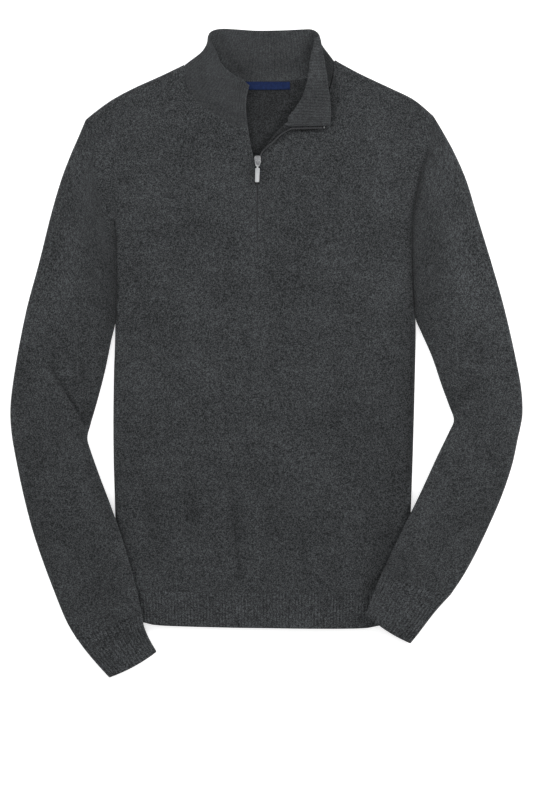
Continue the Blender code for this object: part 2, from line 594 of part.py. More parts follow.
def make_front():
    """One panel, slit at the middle for the zip; its right edge is turned outward."""
    left = front_half(SIDE_LEFT, ARMHOLE_LEFT, SHOULDER_SEAM_LEFT, NECK_FRONT_LEFT,
                      SLIT_LEFT_X, V_LEFT_LOW, V_LEFT)
    edge = front_right_edge()
    right = front_half(SIDE_RIGHT, ARMHOLE_RIGHT, SHOULDER_SEAM_RIGHT, [*NECK_FRONT_RIGHT[:-1], edge[-1]],
                       SLIT_RIGHT_X, [*V_RIGHT_LOW[:-1], edge[0]], edge)[:, ::-1]
    _, outward, cloth = turned_edge(np.clip((ROWS - ROW_OPEN) / (1 - ROW_OPEN), 0, 1))
    steps = np.arange(V_TURN_STEPS, 0, -1) / V_TURN_STEPS
    turned = np.stack([round_the_roll(right[:, 0], outward, cloth * step) for step in steps], axis=1)
    right = np.concatenate([turned, right], axis=1)
    up_right = normals(right)
    closed_rows = ROWS < ROW_OPEN - ROW_STEP
    up_right[closed_rows, V_TURN_STEPS:] = normals(right[:, V_TURN_STEPS:])[closed_rows]
    middle = np.concatenate([left, right], axis=1)
    up = np.concatenate([normals(left), up_right], axis=1)
    n_left = left.shape[1]
    slit_column = n_left + V_TURN_STEPS
    joined = ROWS < ROW_SLIT_END + ROW_STEP

    def same(i, j):
        return (i, n_left - 1) if joined[i] and j == slit_column else (i, j)

    def present(i, j):
        if n_left <= j < slit_column:
            return not closed_rows[i]
        return j != n_left - 1

    outer, inner = middle + up * WALL / 2, middle - up * WALL / 2
    for face in (outer, inner):
        face[..., 2] = np.maximum(face[..., 2], FRONT_RIM)
    return wall("front", outer, inner, KNIT, present=present, same=same)


# --- hem -----------------------------------------------------------------------------------

def rib_columns(count):
    """Shares across a ribbed band, two to each rib, and the relief at each: groove, crest, groove."""
    shares = np.linspace(0, 1, 2 * count + 1)
    relief = np.where(np.arange(2 * count + 1) % 2 == 0, -RIB_RELIEF, RIB_RELIEF)
    return shares, relief


def hem_plan(columns, rows, inset):
    """The band in plan, from just under the body down to its lower edge."""
    top = path(HEM_TOP, columns) - (0, SEAM_GAP)
    bottom = path(HEM_BOTTOM, columns)
    first = path([top[0], bottom[0]], rows)
    last = path([top[-1], bottom[-1]], rows)
    plan = coons(top, bottom, first, last, columns, rows)
    squeeze = 1 - 2 * inset / (plan[0, -1, 0] - plan[0, 0, 0])
    middle_x = (plan[:, :1, 0] + plan[:, -1:, 0]) / 2
    plan[..., 0] = middle_x + (plan[..., 0] - middle_x) * squeeze
    return plan[::-1]


def make_hem_front():
    columns, relief = rib_columns(HEM_RIBS)
    plan = hem_plan(columns, np.array([0.0, 0.5, 1.0]), WALL / 2)
    edge = np.minimum(np.linalg.norm(plan - plan[:, :1], axis=2), np.linalg.norm(plan - plan[:, -1:], axis=2))
    rise = np.sqrt(1 - (1 - np.clip(edge / SIDE_ROLL, 0, 1)) ** 2)
    height = body_top(plan[..., 0], plan[..., 1]) - WALL / 2
    middle = np.dstack([plan, FRONT_RIM + (height - FRONT_RIM) * rise])
    raised = np.broadcast_to(relief * np.ones(3)[:, None], plan.shape[:2]).copy()
    raised[:, [0, -1]] = 0
    outer, inner = faces_of(middle, raised)
    for face in (outer, inner):
        face[..., 2] = np.maximum(face[..., 2], FRONT_RIM)
    return wall("hem_front", outer, inner, RIB)


def make_hem_back():
    columns = np.linspace(0, 1, 15)
    plan = hem_plan(columns, np.array([0.0, 0.5, 1.0]), SIDE_INSET)
    low = np.dstack([plan, np.zeros(plan.shape[:2])])
    high = low + (0, 0, WALL)
    return wall("hem_back", high, low, RIB)


# --- sleeves and cuffs -----------------------------------------------------------------------

def tube_section(count_over, count_under, even=False):
    """Shares across a flattened tube (-1 outer, 1 inner) and rise (-1 to 1), once round it."""
    over = np.linspace(0, 1, count_over + 1)[:-1]
    across_over = (2 * over - 1) if even else -np.cos(math.pi * over)
    if even:
        across_over = np.sign(across_over) * (1 - (1 - np.abs(across_over)) ** 1.15)
    under = np.linspace(0, 1, count_under + 1)[:-1]
    across_under = np.cos(math.pi * under)
    rise_over = (1 - np.abs(across_over) ** 3.0) ** (1 / 2.6)
    rise_under = -(1 - np.abs(across_under) ** 8.0) ** (1 / 4.0)
    return np.concatenate([across_over, across_under]), np.concatenate([rise_over, rise_under])


def tube(stations, rows, across, rise, height, armhole=None, bow=0.0):
    """Middle surface of a flattened tube along stations; it climbs over the body where it must.

    bow is how far the middle of its last row stands out past that row's ends.
    """
    table = np.asarray(stations, float)
    line = by_length(spline(table, 12 * len(table)), rows)
    outer, inner = line[:, :2], line[:, 2:]
    toward = inner - outer
    toward /= np.linalg.norm(toward, axis=1, keepdims=True)
    outer = outer + toward * WALL / 2
    inner = inner - toward * WALL / 2
    share = (across + 1) / 2
    plan = outer[:, None] * (1 - share[None, :, None]) + inner[:, None] * share[None, :, None]
    along = np.gradient((outer + inner) / 2, axis=0)
    along /= np.linalg.norm(along, axis=1, keepdims=True)
    plan = plan + along[:, None] * (bow * np.outer(rows, 1 - across**2))[..., None]
    if armhole is not None:
        seam = by_length(armhole, ARMHOLE_END + share * (1 - 2 * ARMHOLE_END))
        fade = (1 - smoothstep(rows / ARMHOLE_FADE))[:, None, None]
        plan = plan + fade * (seam - plan[0])[None]
    height = np.asarray(height)[:, None]
    half = (height - WALL) / 2
    x, y = plan[..., 0], plan[..., 1]
    z = floor_under_sleeve(x, y) + WALL / 2 + half + half * rise
    upper = smoothstep(rise * 2)[None]
    z = z + upper * fold_height(x, y, SLEEVE_FOLDS)
    return np.dstack([plan, z])


def tube_faces(middle, relief=None):
    """Both faces of a tube's wall, with normals worked out round the closed section."""
    wrapped = np.concatenate([middle[:, -1:], middle, middle[:, :1]], axis=1)
    up = normals(wrapped)[:, 1:-1]
    centre = middle.mean(axis=1, keepdims=True)
    if np.sum(up * (middle - centre)) < 0:
        up = -up
    raised = 0.0 if relief is None else relief[None, :, None]
    return middle + up * (WALL / 2 + raised), middle - up * WALL / 2


def level_underside(outer, rise):
    """Points under the tube that rest on the surface are put exactly on it."""
    resting = (rise < -0.9)[None] & (outer[..., 2] < 0.4)
    outer[..., 2] = np.where(resting, 0.0, np.maximum(outer[..., 2], 0.0))
    return outer


def armhole_edge(lower, upper, side):
    """The sleeve's own edge at the armhole, from the shoulder down to the underarm."""
    line = np.vstack([spline(lower, 200), spline(upper, 80)[1:]])[::-1]
    way = np.gradient(line, axis=0)
    away = np.column_stack([-way[:, 1], way[:, 0]]) * side
    away /= np.linalg.norm(away, axis=1, keepdims=True)
    return line + away * ARMHOLE_EASE


def make_sleeve(name, stations, armhole):
    across, rise = tube_section(14, 12)
    rows = np.concatenate([[0, 0.02, 0.05, 0.09, 0.14], np.linspace(0.2, 1, 19)])
    height = EDGE_TOP - SEAM_DIP + (SLEEVE_TOP - EDGE_TOP + SEAM_DIP) * smoothstep(rows / 0.12)
    middle = tube(stations, rows, across, rise, height, armhole)
    outer, inner = tube_faces(middle)
    return wall(name, level_underside(outer, rise), inner, KNIT, closed=True)


def make_cuff(name, stations):
    across, rise = tube_section(2 * CUFF_RIBS, 8, even=True)
    rows = np.array([0.0, 0.33, 0.67, 1.0])
    table = np.asarray(stations, float)
    way = table[1] - table[0]
    table[0] = table[0] + way / np.linalg.norm(way[:2]) * CUFF_EASE
    height = SLEEVE_TOP + (CUFF_TOP - SLEEVE_TOP) * rows
    middle = tube(table, rows, across, rise, height, bow=CUFF_BOW)
    relief = np.where(np.arange(len(across)) % 2 == 0, -RIB_RELIEF, RIB_RELIEF)
    relief[2 * CUFF_RIBS:] = 0.0
    relief[0] = 0.0
    outer, inner = tube_faces(middle, relief)
    return wall(name, level_underside(outer, rise), inner, RIB, closed=True)


# --- collar --------------------------------------------------------------------------------

def collar_controls():
    """Five points for each station, from the seam to the free edge."""
    net = []
    for station, row in enumerate(COLLAR):
        at = dict(zip(COLLAR_FIELDS, row))
        seam = np.array([at["seam_x"], at["seam_y"], at["seam_z"]])
        top = np.array([at["top_x"], at["top_y"], at["top_z"]])
        if at["kind"] == "flat":
            points = [seam + (top - seam) * share for share in (0, 0.25, 0.5, 0.75, 1)]
            for point, share in zip(points, COLLAR_WAIST_SHAPE):
                point[0] += COLLAR_WAIST.get(station, 0.0) * share
            net.append(points)
            continue
        if at["kind"] == "turned":
            length = np.linalg.norm(top - seam)
            steps = (0.0, 2.5 / length, 5.0 / length, 12.0 / length, 1.0)
            points = [seam + (top - seam) * share for share in steps]
            for point, share in zip(points[1:4], (0.45, 0.75, 1.0)):
                point[2] = seam[2] + (max(top[2], seam[2]) - seam[2]) * share
            net.append(points)
            continue
        fold = np.array([at["fold_x"], at["fold_y"], at["fold_z"]])
        lower = fold + (seam - fold) / np.linalg.norm(seam - fold) * COLLAR_FOLD_REACH
        upper = fold + (top - fold) / np.linalg.norm(top - fold) * COLLAR_FOLD_REACH
        lower[2] = fold[2] - COLLAR_FOLD_HALF
        upper[2] = fold[2] + COLLAR_FOLD_HALF
        net.append([seam, lower, fold, upper, top])
    return np.array(net)


def collar_surface(columns, levels):
    """Middle surface of the collar: row by level from the seam, column along the neck."""
    net = collar_controls()
    dense = np.array([spline(net[:, k], 40 * len(net)) for k in range(5)])
    line = by_length_shares(dense.mean(axis=0), columns)
    across = np.array([[np.interp(line, np.arange(dense.shape[1]), dense[k, :, c]) for c in range(3)]
                       for k in range(5)]).transpose(2, 0, 1)
    surface = np.zeros((len(levels), len(columns), 3))
    for j, controls in enumerate(across):
        fine = spline(controls, 401)
        surface[:, j] = fine[np.round(np.asarray(levels) * 100).astype(int)]
    return surface


def by_length_shares(points, shares):
    """Where, as an index into a dense curve, the given shares of its length are."""
    steps = np.linalg.norm(np.diff(points, axis=0), axis=1)
    along = np.concatenate([[0], np.cumsum(steps)])
    return np.interp(np.asarray(shares) * along[-1], along, np.arange(len(points)))


def make_collar():
    columns, relief = rib_columns(COLLAR_RIBS)
    middle = collar_surface(columns, COLLAR_ROWS)
    up = normals(middle)
    thick = WALL / 2 + np.broadcast_to(relief, middle.shape[:2])[..., None]
    inside, outside = middle + up * thick, middle - up * thick
    for face in (inside, outside):
        face[..., 2] = np.maximum(face[..., 2], 0.0)
    return wall("collar", inside, outside, RIB)


# --- zip -----------------------------------------------------------------------------------

def strip(name, centres, across, facing, finish):
    """A flat strip: its centre line, half its width as vectors, and which way its face looks."""
    centres, across, facing = (np.asarray(rows, float) for rows in (centres, across, facing))
    facing = facing / np.linalg.norm(facing, axis=1, keepdims=True) * TAPE_THICK / 2
    edges = np.stack([centres - across, centres + across], axis=1)
    return wall(name, edges + facing[:, None], edges - facing[:, None], finish)


def closed_tape(side):
    """Rows of the tape under the closed part of the zip: centre, half width, facing."""
    y = np.linspace(SLIT_END_Y - 4, SLIDER_Y - 2, 8)
    x = np.full(8, CENTRE_X + side * (TAPE_WIDTH + TAPE_CENTRE_GAP) / 2)
    z = body_top(x, y) - TAPE_DEPTH
    half_width = np.tile((-side * TAPE_WIDTH / 2, 0, 0), (8, 1))
    return np.column_stack([x, y, z]), half_width, np.tile((0, 0, 1.0), (8, 1))


def make_tape_left():
    """Under the left edge of the opening, then under the standing end of the collar."""
    centres, across, facing = closed_tape(-1)
    inset = (TAPE_WIDTH + TAPE_CENTRE_GAP) / 2
    edge = np.vstack([path(V_LEFT_LOW, (0.5,)), path(V_LEFT, np.linspace(0, 0.94, 4))])
    panel = np.column_stack([edge[:, 0] - inset, edge[:, 1], body_top(edge[:, 0], edge[:, 1]) - TAPE_DEPTH])
    stand = collar_surface([0.0], (0.0, 1.0, 2.0, 3.0, 3.8))[:, 0]
    stand = stand + (-inset, 0.0, -WALL / 2 - RIB_RELIEF - SEAM_GAP - TAPE_THICK)
    more = np.vstack([panel, stand])
    count = (len(more), 1)
    strip("zip_tape_left", np.vstack([centres, more]), np.vstack([across, np.tile(across[:1], count)]),
          np.vstack([facing, np.tile(facing[:1], count)]), TAPE)


def make_tape_right():
    """Under the closed zip, then out past the turned edge, and along the end of the lapel."""
    centres, across, facing = closed_tape(1)
    beyond = TAPE_EASE + TAPE_EDGE / 2
    level = body_top(CENTRE_X, SLIDER_Y) - WALL / 2
    rise = []
    for share, drop in ((0.25, 1.9), (0.55, 1.4), (0.82, 0.6)):
        (x, y), = path(V_RIGHT_LOW, (share,))
        rise.append(((x - beyond, y, level - drop), (-TAPE_EDGE / 2, 0, 0), (0, 0, 1)))
    shares = np.linspace(0.0, 0.97, 10)
    core, outward, cloth = turned_edge(shares)
    base = np.column_stack([core, body_top(core[:, 0], core[:, 1]) - WALL / 2])
    tip = round_the_roll(base, outward, cloth)
    ahead = round_the_roll(base, outward, cloth + 0.05) - tip
    ahead /= np.linalg.norm(ahead, axis=1, keepdims=True)
    along = np.gradient(tip, axis=0)
    for point, way, line in zip(tip, ahead, along):
        rise.append((point + way * beyond, way * TAPE_EDGE / 2, np.cross(way, line)))
    lapel = collar_surface([1.0], (0.6, 1.2, 2.0, 2.8, 3.3, 3.75))[:, 0]
    for point in lapel:
        rise.append((point + (0, -beyond - 0.2, 0), (0, -TAPE_EDGE / 2, 0), (0, 0, -1)))
    more = [np.array([row[k] for row in rise], float) for k in range(3)]
    for before, face in zip([facing[-1], *more[2]], more[2]):
        if np.dot(before, face) < 0:
            face *= -1
    strip("zip_tape_right", np.vstack([centres, more[0]]), np.vstack([across, more[1]]),
          np.vstack([facing, more[2]]), TAPE)


def box_mesh(target, centre, size, taper=1.0):
    """Add a box to a bmesh; taper narrows its -Y end."""
    made = bmesh.ops.create_cube(target, size=1.0)
    for corner in made["verts"]:
        narrow = taper if corner.co.y < 0 else 1.0
        corner.co = Vector((centre[0] + corner.co.x * size[0] * narrow, centre[1] + corner.co.y * size[1],
                            centre[2] + corner.co.z * size[2]))
    return made["verts"]


def solid(name, build, finish, bevel=0.0):
    body = bmesh.new()
    build(body)
    mesh = bpy.data.meshes.new(name)
    body.to_mesh(mesh)
    body.free()
    mesh.transform(Matrix.Scale(MM, 4))
    thing = add_object(name, mesh, finish)
    if bevel:
        rounded = thing.modifiers.new("rounded", "BEVEL")
        rounded.width = bevel * MM
        rounded.segments = 2
        rounded.limit_method = "ANGLE"
    return thing


def join(base, parts):
    """Fuse solids into base, so that the node is one body."""
    for part in parts:
        part.hide_render = True
        part.display_type = "WIRE"
        fused = base.modifiers.new("fuse_" + part.name, "BOOLEAN")
        fused.operation = "UNION"
        fused.object = part
    return base


def outline_prism(body, outline, low, high):
    """A plate from its outline in plan."""
    bottom = [body.verts.new((x, y, low)) for x, y in outline]
    face = body.faces.new(bottom)
    raised = bmesh.ops.extrude_face_region(body, geom=[face])
    for thing in raised["geom"]:
        if isinstance(thing, bmesh.types.BMVert):
            thing.co.z = high
    bmesh.ops.recalc_face_normals(body, faces=body.faces)


def slider_outline(width, foot, length):
    cx, cy = SLIDER_CENTRE
    half, low, reach = width / 2, foot / 2, length / 2
    return [(cx - low, cy - reach), (cx + low, cy - reach), (cx + half * 0.86, cy - reach * 0.1),
            (cx + half, cy + reach * 0.45), (cx + half * 0.72, cy + reach), (cx - half * 0.72, cy + reach),
            (cx - half, cy + reach * 0.45), (cx - half * 0.86, cy - reach * 0.1)]


def make_slider():
    cx, cy = SLIDER_CENTRE
    top = PLATE_BOTTOM + PLATE_THICK
    outline = slider_outline(SLIDER_WIDTH, SLIDER_FOOT_WIDTH, SLIDER_LENGTH)
    plate = solid("zip_slider", lambda b: outline_prism(b, outline, PLATE_BOTTOM, top), METAL, 0.3)
    neck = solid("slider_neck", lambda b: box_mesh(
        b, (cx, cy + 4.2, (PLATE_BOTTOM + 3.4) / 2 + 0.2), (NECK_WIDTH, 3.0, PLATE_BOTTOM - 3.2)), METAL)
    foot_outline = slider_outline(SLIDER_WIDTH - 1.6, SLIDER_FOOT_WIDTH - 1.6, SLIDER_LENGTH - 2)
    foot = solid("slider_foot", lambda b: outline_prism(b, foot_outline, 2.6, 3.5), METAL)
    bridge_top = top + BRIDGE_RISE
    half = BRIDGE_LENGTH / 2
    loop = solid("slider_bridge", lambda b: box_mesh(
        b, (cx, cy, bridge_top - BRIDGE_THICK / 2), (BRIDGE_WIDTH, BRIDGE_LENGTH, BRIDGE_THICK)), METAL)
    posts = [solid(f"slider_post_{k}", lambda b, y=y: box_mesh(
        b, (cx, y, (top + bridge_top) / 2 - 0.3), (BRIDGE_WIDTH, 1.0, BRIDGE_RISE + 0.2)), METAL)
        for k, y in enumerate((cy - half + 0.5, cy + half - 0.5))]
    return join(plate, [neck, foot, loop, *posts])


def make_pull():
    """The tab: a pin under the slider's bridge, two arms and a flat grip. Its origin is on the pin."""
    cx, cy = SLIDER_CENTRE
    arm_x = PULL_WIDTH / 2 - PULL_ARM / 2
    pin = Matrix.Rotation(math.radians(90), 4, "Y")

    def grip(b):
        size = (PULL_WIDTH, PULL_LENGTH - PULL_OPENING, PULL_THICK)
        box_mesh(b, (0, -(PULL_OPENING + PULL_LENGTH) / 2, 0), size, PULL_TAPER)

    def bar(b):
        bmesh.ops.create_cone(b, cap_ends=True, segments=12, radius1=PIN_RADIUS, radius2=PIN_RADIUS,
                              depth=PULL_WIDTH - 0.4, matrix=pin)

    tab = solid("zip_pull", grip, METAL, 0.3)
    arms = [solid(f"pull_arm_{k}", lambda b, x=x: box_mesh(
        b, (x, -PULL_OPENING / 2, 0), (PULL_ARM, PULL_OPENING + 1.0, 1.0)), METAL)
        for k, x in enumerate((-arm_x, arm_x))]
    rod = solid("pull_pin", bar, METAL)
    pieces = [tab, *arms, rod]
    place = (Matrix.Translation(Vector((cx, cy, PIN_HEIGHT)) * MM)
             @ Matrix.Rotation(PULL_DROOP, 4, "X"))
    for piece in pieces:
        piece.matrix_world = place
    return join(tab, pieces[1:])


def make_label():
    x = np.linspace(LABEL_LEFT, LABEL_RIGHT, 5)
    low = np.array([[(a, b, WALL + SEAM_GAP) for a in x] for b in (LABEL_LOW, LABEL_HIGH)])
    return wall("neck_label", low + (0, 0, LABEL_THICK), low, LABEL)


def clear_scene():
    for thing in list(bpy.data.objects):
        bpy.data.objects.remove(thing, do_unlink=True)


def main():
    clear_scene()
    make_back()
    make_front()
    make_hem_front()
    make_hem_back()
    make_sleeve("sleeve_left", SLEEVE_LEFT, armhole_edge(ARMHOLE_LEFT, ARMHOLE_TOP_LEFT, -1))
    make_sleeve("sleeve_right", SLEEVE_RIGHT, armhole_edge(ARMHOLE_RIGHT, ARMHOLE_TOP_RIGHT, 1))
    make_cuff("cuff_left", CUFF_LEFT)
    make_cuff("cuff_right", CUFF_RIGHT)
    make_collar()
    make_tape_left()
    make_tape_right()
    make_slider()
    make_pull()
    make_label()


main()
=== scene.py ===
"""Quarter-zip knitted sweater, laid flat with its front up: cloth, sewing, zip and studio.

Lengths are in millimetres until a mesh is made. X runs across the garment, Y from the hem to the
neck and Z up from the surface that it lies on. Left is -X and right is +X, as the front is seen.
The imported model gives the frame, and every piece here takes the place of its own node there.
"""
from __future__ import annotations

import logging
import math
from collections.abc import Callable, Sequence
from dataclasses import dataclass, field
from enum import Enum

import bmesh
import bpy
import numpy as np
from mathutils import Matrix, Vector

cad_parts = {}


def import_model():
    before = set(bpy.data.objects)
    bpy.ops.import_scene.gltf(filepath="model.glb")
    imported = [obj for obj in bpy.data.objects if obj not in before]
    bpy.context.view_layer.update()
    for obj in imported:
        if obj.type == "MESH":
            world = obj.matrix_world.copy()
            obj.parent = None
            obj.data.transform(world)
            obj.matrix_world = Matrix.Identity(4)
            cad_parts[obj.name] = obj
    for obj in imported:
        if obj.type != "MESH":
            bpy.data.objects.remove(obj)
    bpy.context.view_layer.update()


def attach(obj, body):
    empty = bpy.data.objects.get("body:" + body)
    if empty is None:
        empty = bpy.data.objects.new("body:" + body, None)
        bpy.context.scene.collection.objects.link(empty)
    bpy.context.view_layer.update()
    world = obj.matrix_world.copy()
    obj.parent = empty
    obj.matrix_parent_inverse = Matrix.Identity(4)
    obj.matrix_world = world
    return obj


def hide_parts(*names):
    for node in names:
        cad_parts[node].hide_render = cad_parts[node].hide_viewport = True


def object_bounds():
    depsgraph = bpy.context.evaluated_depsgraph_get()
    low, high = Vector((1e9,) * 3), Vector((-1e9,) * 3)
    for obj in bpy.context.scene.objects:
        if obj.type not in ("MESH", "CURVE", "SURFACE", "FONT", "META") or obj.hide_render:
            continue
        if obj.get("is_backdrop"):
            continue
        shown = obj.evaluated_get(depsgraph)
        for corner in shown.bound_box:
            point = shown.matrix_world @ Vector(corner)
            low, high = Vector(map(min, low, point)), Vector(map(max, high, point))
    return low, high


LOG = logging.getLogger("sweater")
MM = 0.001
SWEATER_BODY = "sweater"
PULL_BODY = "pull_tab"

Array = np.ndarray
Point = tuple[float, ...]

# Cloth
WALL = 2.0
SEAM_GAP = 0.3
RIB_RELIEF = 0.42                      # half of what a rib's crest stands above its groove
HEM_RIBS = 88
CUFF_RIBS = 18                         # across one side of a cuff
COLLAR_RIBS = 100
RIB_PITCH = 3.9
LIP_STEPS = (0.0, 0.1, 0.3, 0.65, 1.2)  # places near an edge, where the cloth is rounded

# Heights above the surface
BACK_MID = WALL / 2
FRONT_RIM = WALL + SEAM_GAP
EDGE_TOP = 6.4
CROWN = 1.2
CROWN_REACH = 60.0
FULLNESS = 2.6                         # how much fuller the cloth lies than its plain panel
FULLNESS_REACH = 46.0
FULLNESS_LOW = (-215.0, -120.0)        # the fullness fades out here, where the sleeves lie over it
CALM_FROM = 150.0                      # toward the neck the cloth lies flatter, under zip and collar
CALM_OVER = 65.0
CALM_RIPPLE = 0.35
SIDE_ROLL = 4.6
SEAM_DIP = 1.25
SEAM_DIP_REACH = 6.0
SLEEVE_TOP = 8.0
CUFF_TOP = 7.6
SLEEVE_CLEARANCE = 1.1
DRAPE_REACH = 32.0
ARMHOLE_EASE = 0.12
TOUCH_GAP = 0.2                        # from a sleeve to the body's side, where they lie together
TOUCH_FADE = (26.0, 8.0)               # above this they do, and over how much of the way they meet
ARMHOLE_END = 0.006
ARMHOLE_FADE = 0.16

# Plan of the body: (x, y), from the hem up
SIDE_LEFT = [(-176.3, -288.0), (-180.6, -262.0), (-183.2, -228.0), (-184.6, -180.0), (-186.0, -136.0),
             (-186.6, -84.0), (-186.0, -25.0), (-184.5, 30.0), (-184.4, 160.5)]
SIDE_RIGHT = [(168.4, -289.0), (171.4, -262.0), (174.0, -228.0), (176.2, -180.0), (178.8, -106.0),
              (180.8, -33.5), (182.0, 25.0), (180.7, 64.0), (178.5, 112.0), (178.0, 165.0)]
ARMHOLE_LEFT = [(-184.4, 160.5), (-199.5, 173.0), (-206.8, 199.5), (-211.6, 224.0), (-210.5, 244.0),
                (-208.0, 259.0)]
ARMHOLE_RIGHT = [(178.0, 165.0), (183.6, 196.0), (187.3, 216.5), (194.6, 237.0), (199.0, 250.0),
                 (200.7, 264.0)]
ARMHOLE_TOP_LEFT = [(-208.0, 259.0), (-213.4, 272.4), (-220.4, 284.9)]
ARMHOLE_TOP_RIGHT = [(200.7, 264.0), (202.2, 276.0), (203.5, 289.3)]
SHOULDER_LEFT = [(-220.4, 284.9), (-210.0, 293.4), (-189.7, 308.1), (-162.9, 322.7), (-129.9, 337.6),
                 (-100.6, 351.6)]
SHOULDER_RIGHT = [(203.5, 289.3), (180.0, 308.9), (151.9, 322.9), (117.7, 338.9), (97.0, 349.8),
                  (83.5, 357.4)]
SHOULDER_SEAM_LEFT = [(-208.0, 259.0), (-189.7, 266.6), (-153.1, 277.9), (-119.0, 289.0), (-80.0, 301.5)]
SHOULDER_SEAM_RIGHT = [(200.7, 264.0), (184.8, 270.2), (148.2, 280.0), (112.0, 292.5), (69.0, 309.5)]
NECK_FRONT_LEFT = [(-80.0, 301.5), (-67.5, 293.5), (-52.0, 284.0), (-38.0, 276.6), (-22.6, 273.6)]
NECK_FRONT_RIGHT = [(69.0, 309.5), (57.0, 300.5), (46.0, 291.5), (36.5, 284.0), (29.0, 279.0)]
NECK_SIDE_LEFT = [(-98.8, 327.6), (-91.6, 314.6)]
NECK_SIDE_RIGHT = [(81.0, 336.0), (76.5, 321.0)]
NECK_BACK = [(-84.8, 342.2), (-62.8, 336.0), (-32.3, 332.4), (-3.0, 331.6), (28.7, 332.4), (50.6, 336.0),
             (69.0, 343.5)]
HEM_TOP = [(-176.3, -288.0), (-95.0, -292.0), (0.0, -293.0), (95.0, -292.5), (168.4, -289.0)]
HEM_BOTTOM = [(-172.6, -322.7), (-150.7, -329.6), (-123.8, -333.6), (-27.4, -336.2), (100.0, -337.2),
              (136.0, -333.9), (165.3, -325.1)]

# Zip opening: closed from SLIT_END_Y up to the slider, open above it
SLIT_LEFT_X = -11.9
SLIT_RIGHT_X = -10.9
SLIT_END_Y = 131.0
SLIDER_Y = 224.0
V_LEFT_LOW = [(-11.9, 224.0), (-14.4, 233.0), (-16.6, 241.0)]
V_LEFT = [(-16.6, 241.0), (-18.9, 251.0), (-20.8, 262.0), (-22.6, 273.6)]
V_RIGHT_LOW = [(-10.9, 224.0), (-8.4, 232.0), (-5.2, 241.0)]
V_FOLD = [(-5.2, 241.0), (-2.6, 247.6), (4.0, 258.6), (13.4, 270.2), (21.6, 277.6)]
V_FLAP_EDGE = [(-3.4, 241.6), (2.0, 250.4), (8.6, 260.0), (17.5, 268.4), (27.6, 273.8)]
V_ROLL = 1.6
V_TURN_SHARE = 0.5
V_TURN_STEPS = 14

# Breaks along the rows and columns of the panels, as shares from hem to neck and side to zip
ROW_SLIT_END = 0.745
ROW_UNDERARM = 0.815
ROW_SLIDER = 0.90
ROW_OPEN = 0.93
ROW_SHOULDER_SEAM = 0.95
COLUMN_NECK = 0.68
COLUMN_NECK_BACK = (0.30, 0.70)

# Sleeves, station by station: outer and inner edge of the flattened tube in plan
SLEEVE_LEFT = [
    (-220.4, 284.9, -185.4, 161.2), (-229.2, 264.1, -185.6, 142.1), (-239.7, 239.7, -185.6, 117.7),
    (-250.7, 210.4, -185.6, 93.3), (-262.9, 169.0, -185.6, 64.0), (-277.6, 110.4, -186.2, 37.2),
    (-292.2, 56.7, -189.9, 12.8), (-303.2, 3.0, -197.4, -23.8), (-310.6, -43.3, -206.9, -60.4),
    (-313.0, -72.6, -214.9, -88.0), (-311.3, -99.4, -218.6, -104.5), (-306.8, -126.3, -214.3, -121.0),
    (-298.3, -167.8, -203.1, -151.9), (-287.3, -211.7, -188.5, -189.7), (-275.1, -249.5, -174.5, -231.2),
    (-259.2, -292.2, -162.3, -273.9), (-244.6, -327.6, -154.6, -304.4), (-231.2, -350.8, -152.0, -318.0),
]
SLEEVE_RIGHT = [
    (204.5, 289.3, 179.2, 165.0), (214.5, 272.0, 179.6, 142.1), (228.7, 245.6, 180.0, 117.7),
    (243.9, 210.4, 181.1, 93.3), (256.5, 169.0, 182.7, 64.0), (274.6, 110.4, 184.2, 42.1),
    (289.9, 56.7, 189.1, 24.2), (302.4, 3.0, 202.2, -5.3), (310.8, -40.9, 213.4, -38.4),
    (312.8, -72.6, 223.3, -65.3), (310.0, -92.1, 228.8, -82.3), (307.2, -104.3, 223.0, -97.0),
    (300.4, -136.0, 208.8, -126.3), (289.2, -170.2, 191.1, -164.1), (275.9, -201.9, 172.6, -201.9),
    (257.6, -240.9, 154.0, -240.5), (241.0, -271.4, 144.6, -260.7), (224.0, -297.1, 139.7, -270.2),
]
CUFF_LEFT = [(-231.2, -350.8, -152.0, -318.0), (-220.2, -365.4, -148.6, -334.6),
             (-206.8, -381.2, -142.2, -350.6), (-192.2, -397.1, -134.0, -365.4)]
CUFF_RIGHT = [(224.0, -297.1, 139.7, -270.2), (208.5, -314.1, 132.8, -286.6),
              (192.8, -334.0, 126.4, -303.0), (176.0, -355.6, 120.2, -319.0)]
CUFF_BOW = 2.5                         # how far the middle of a cuff's end stands out


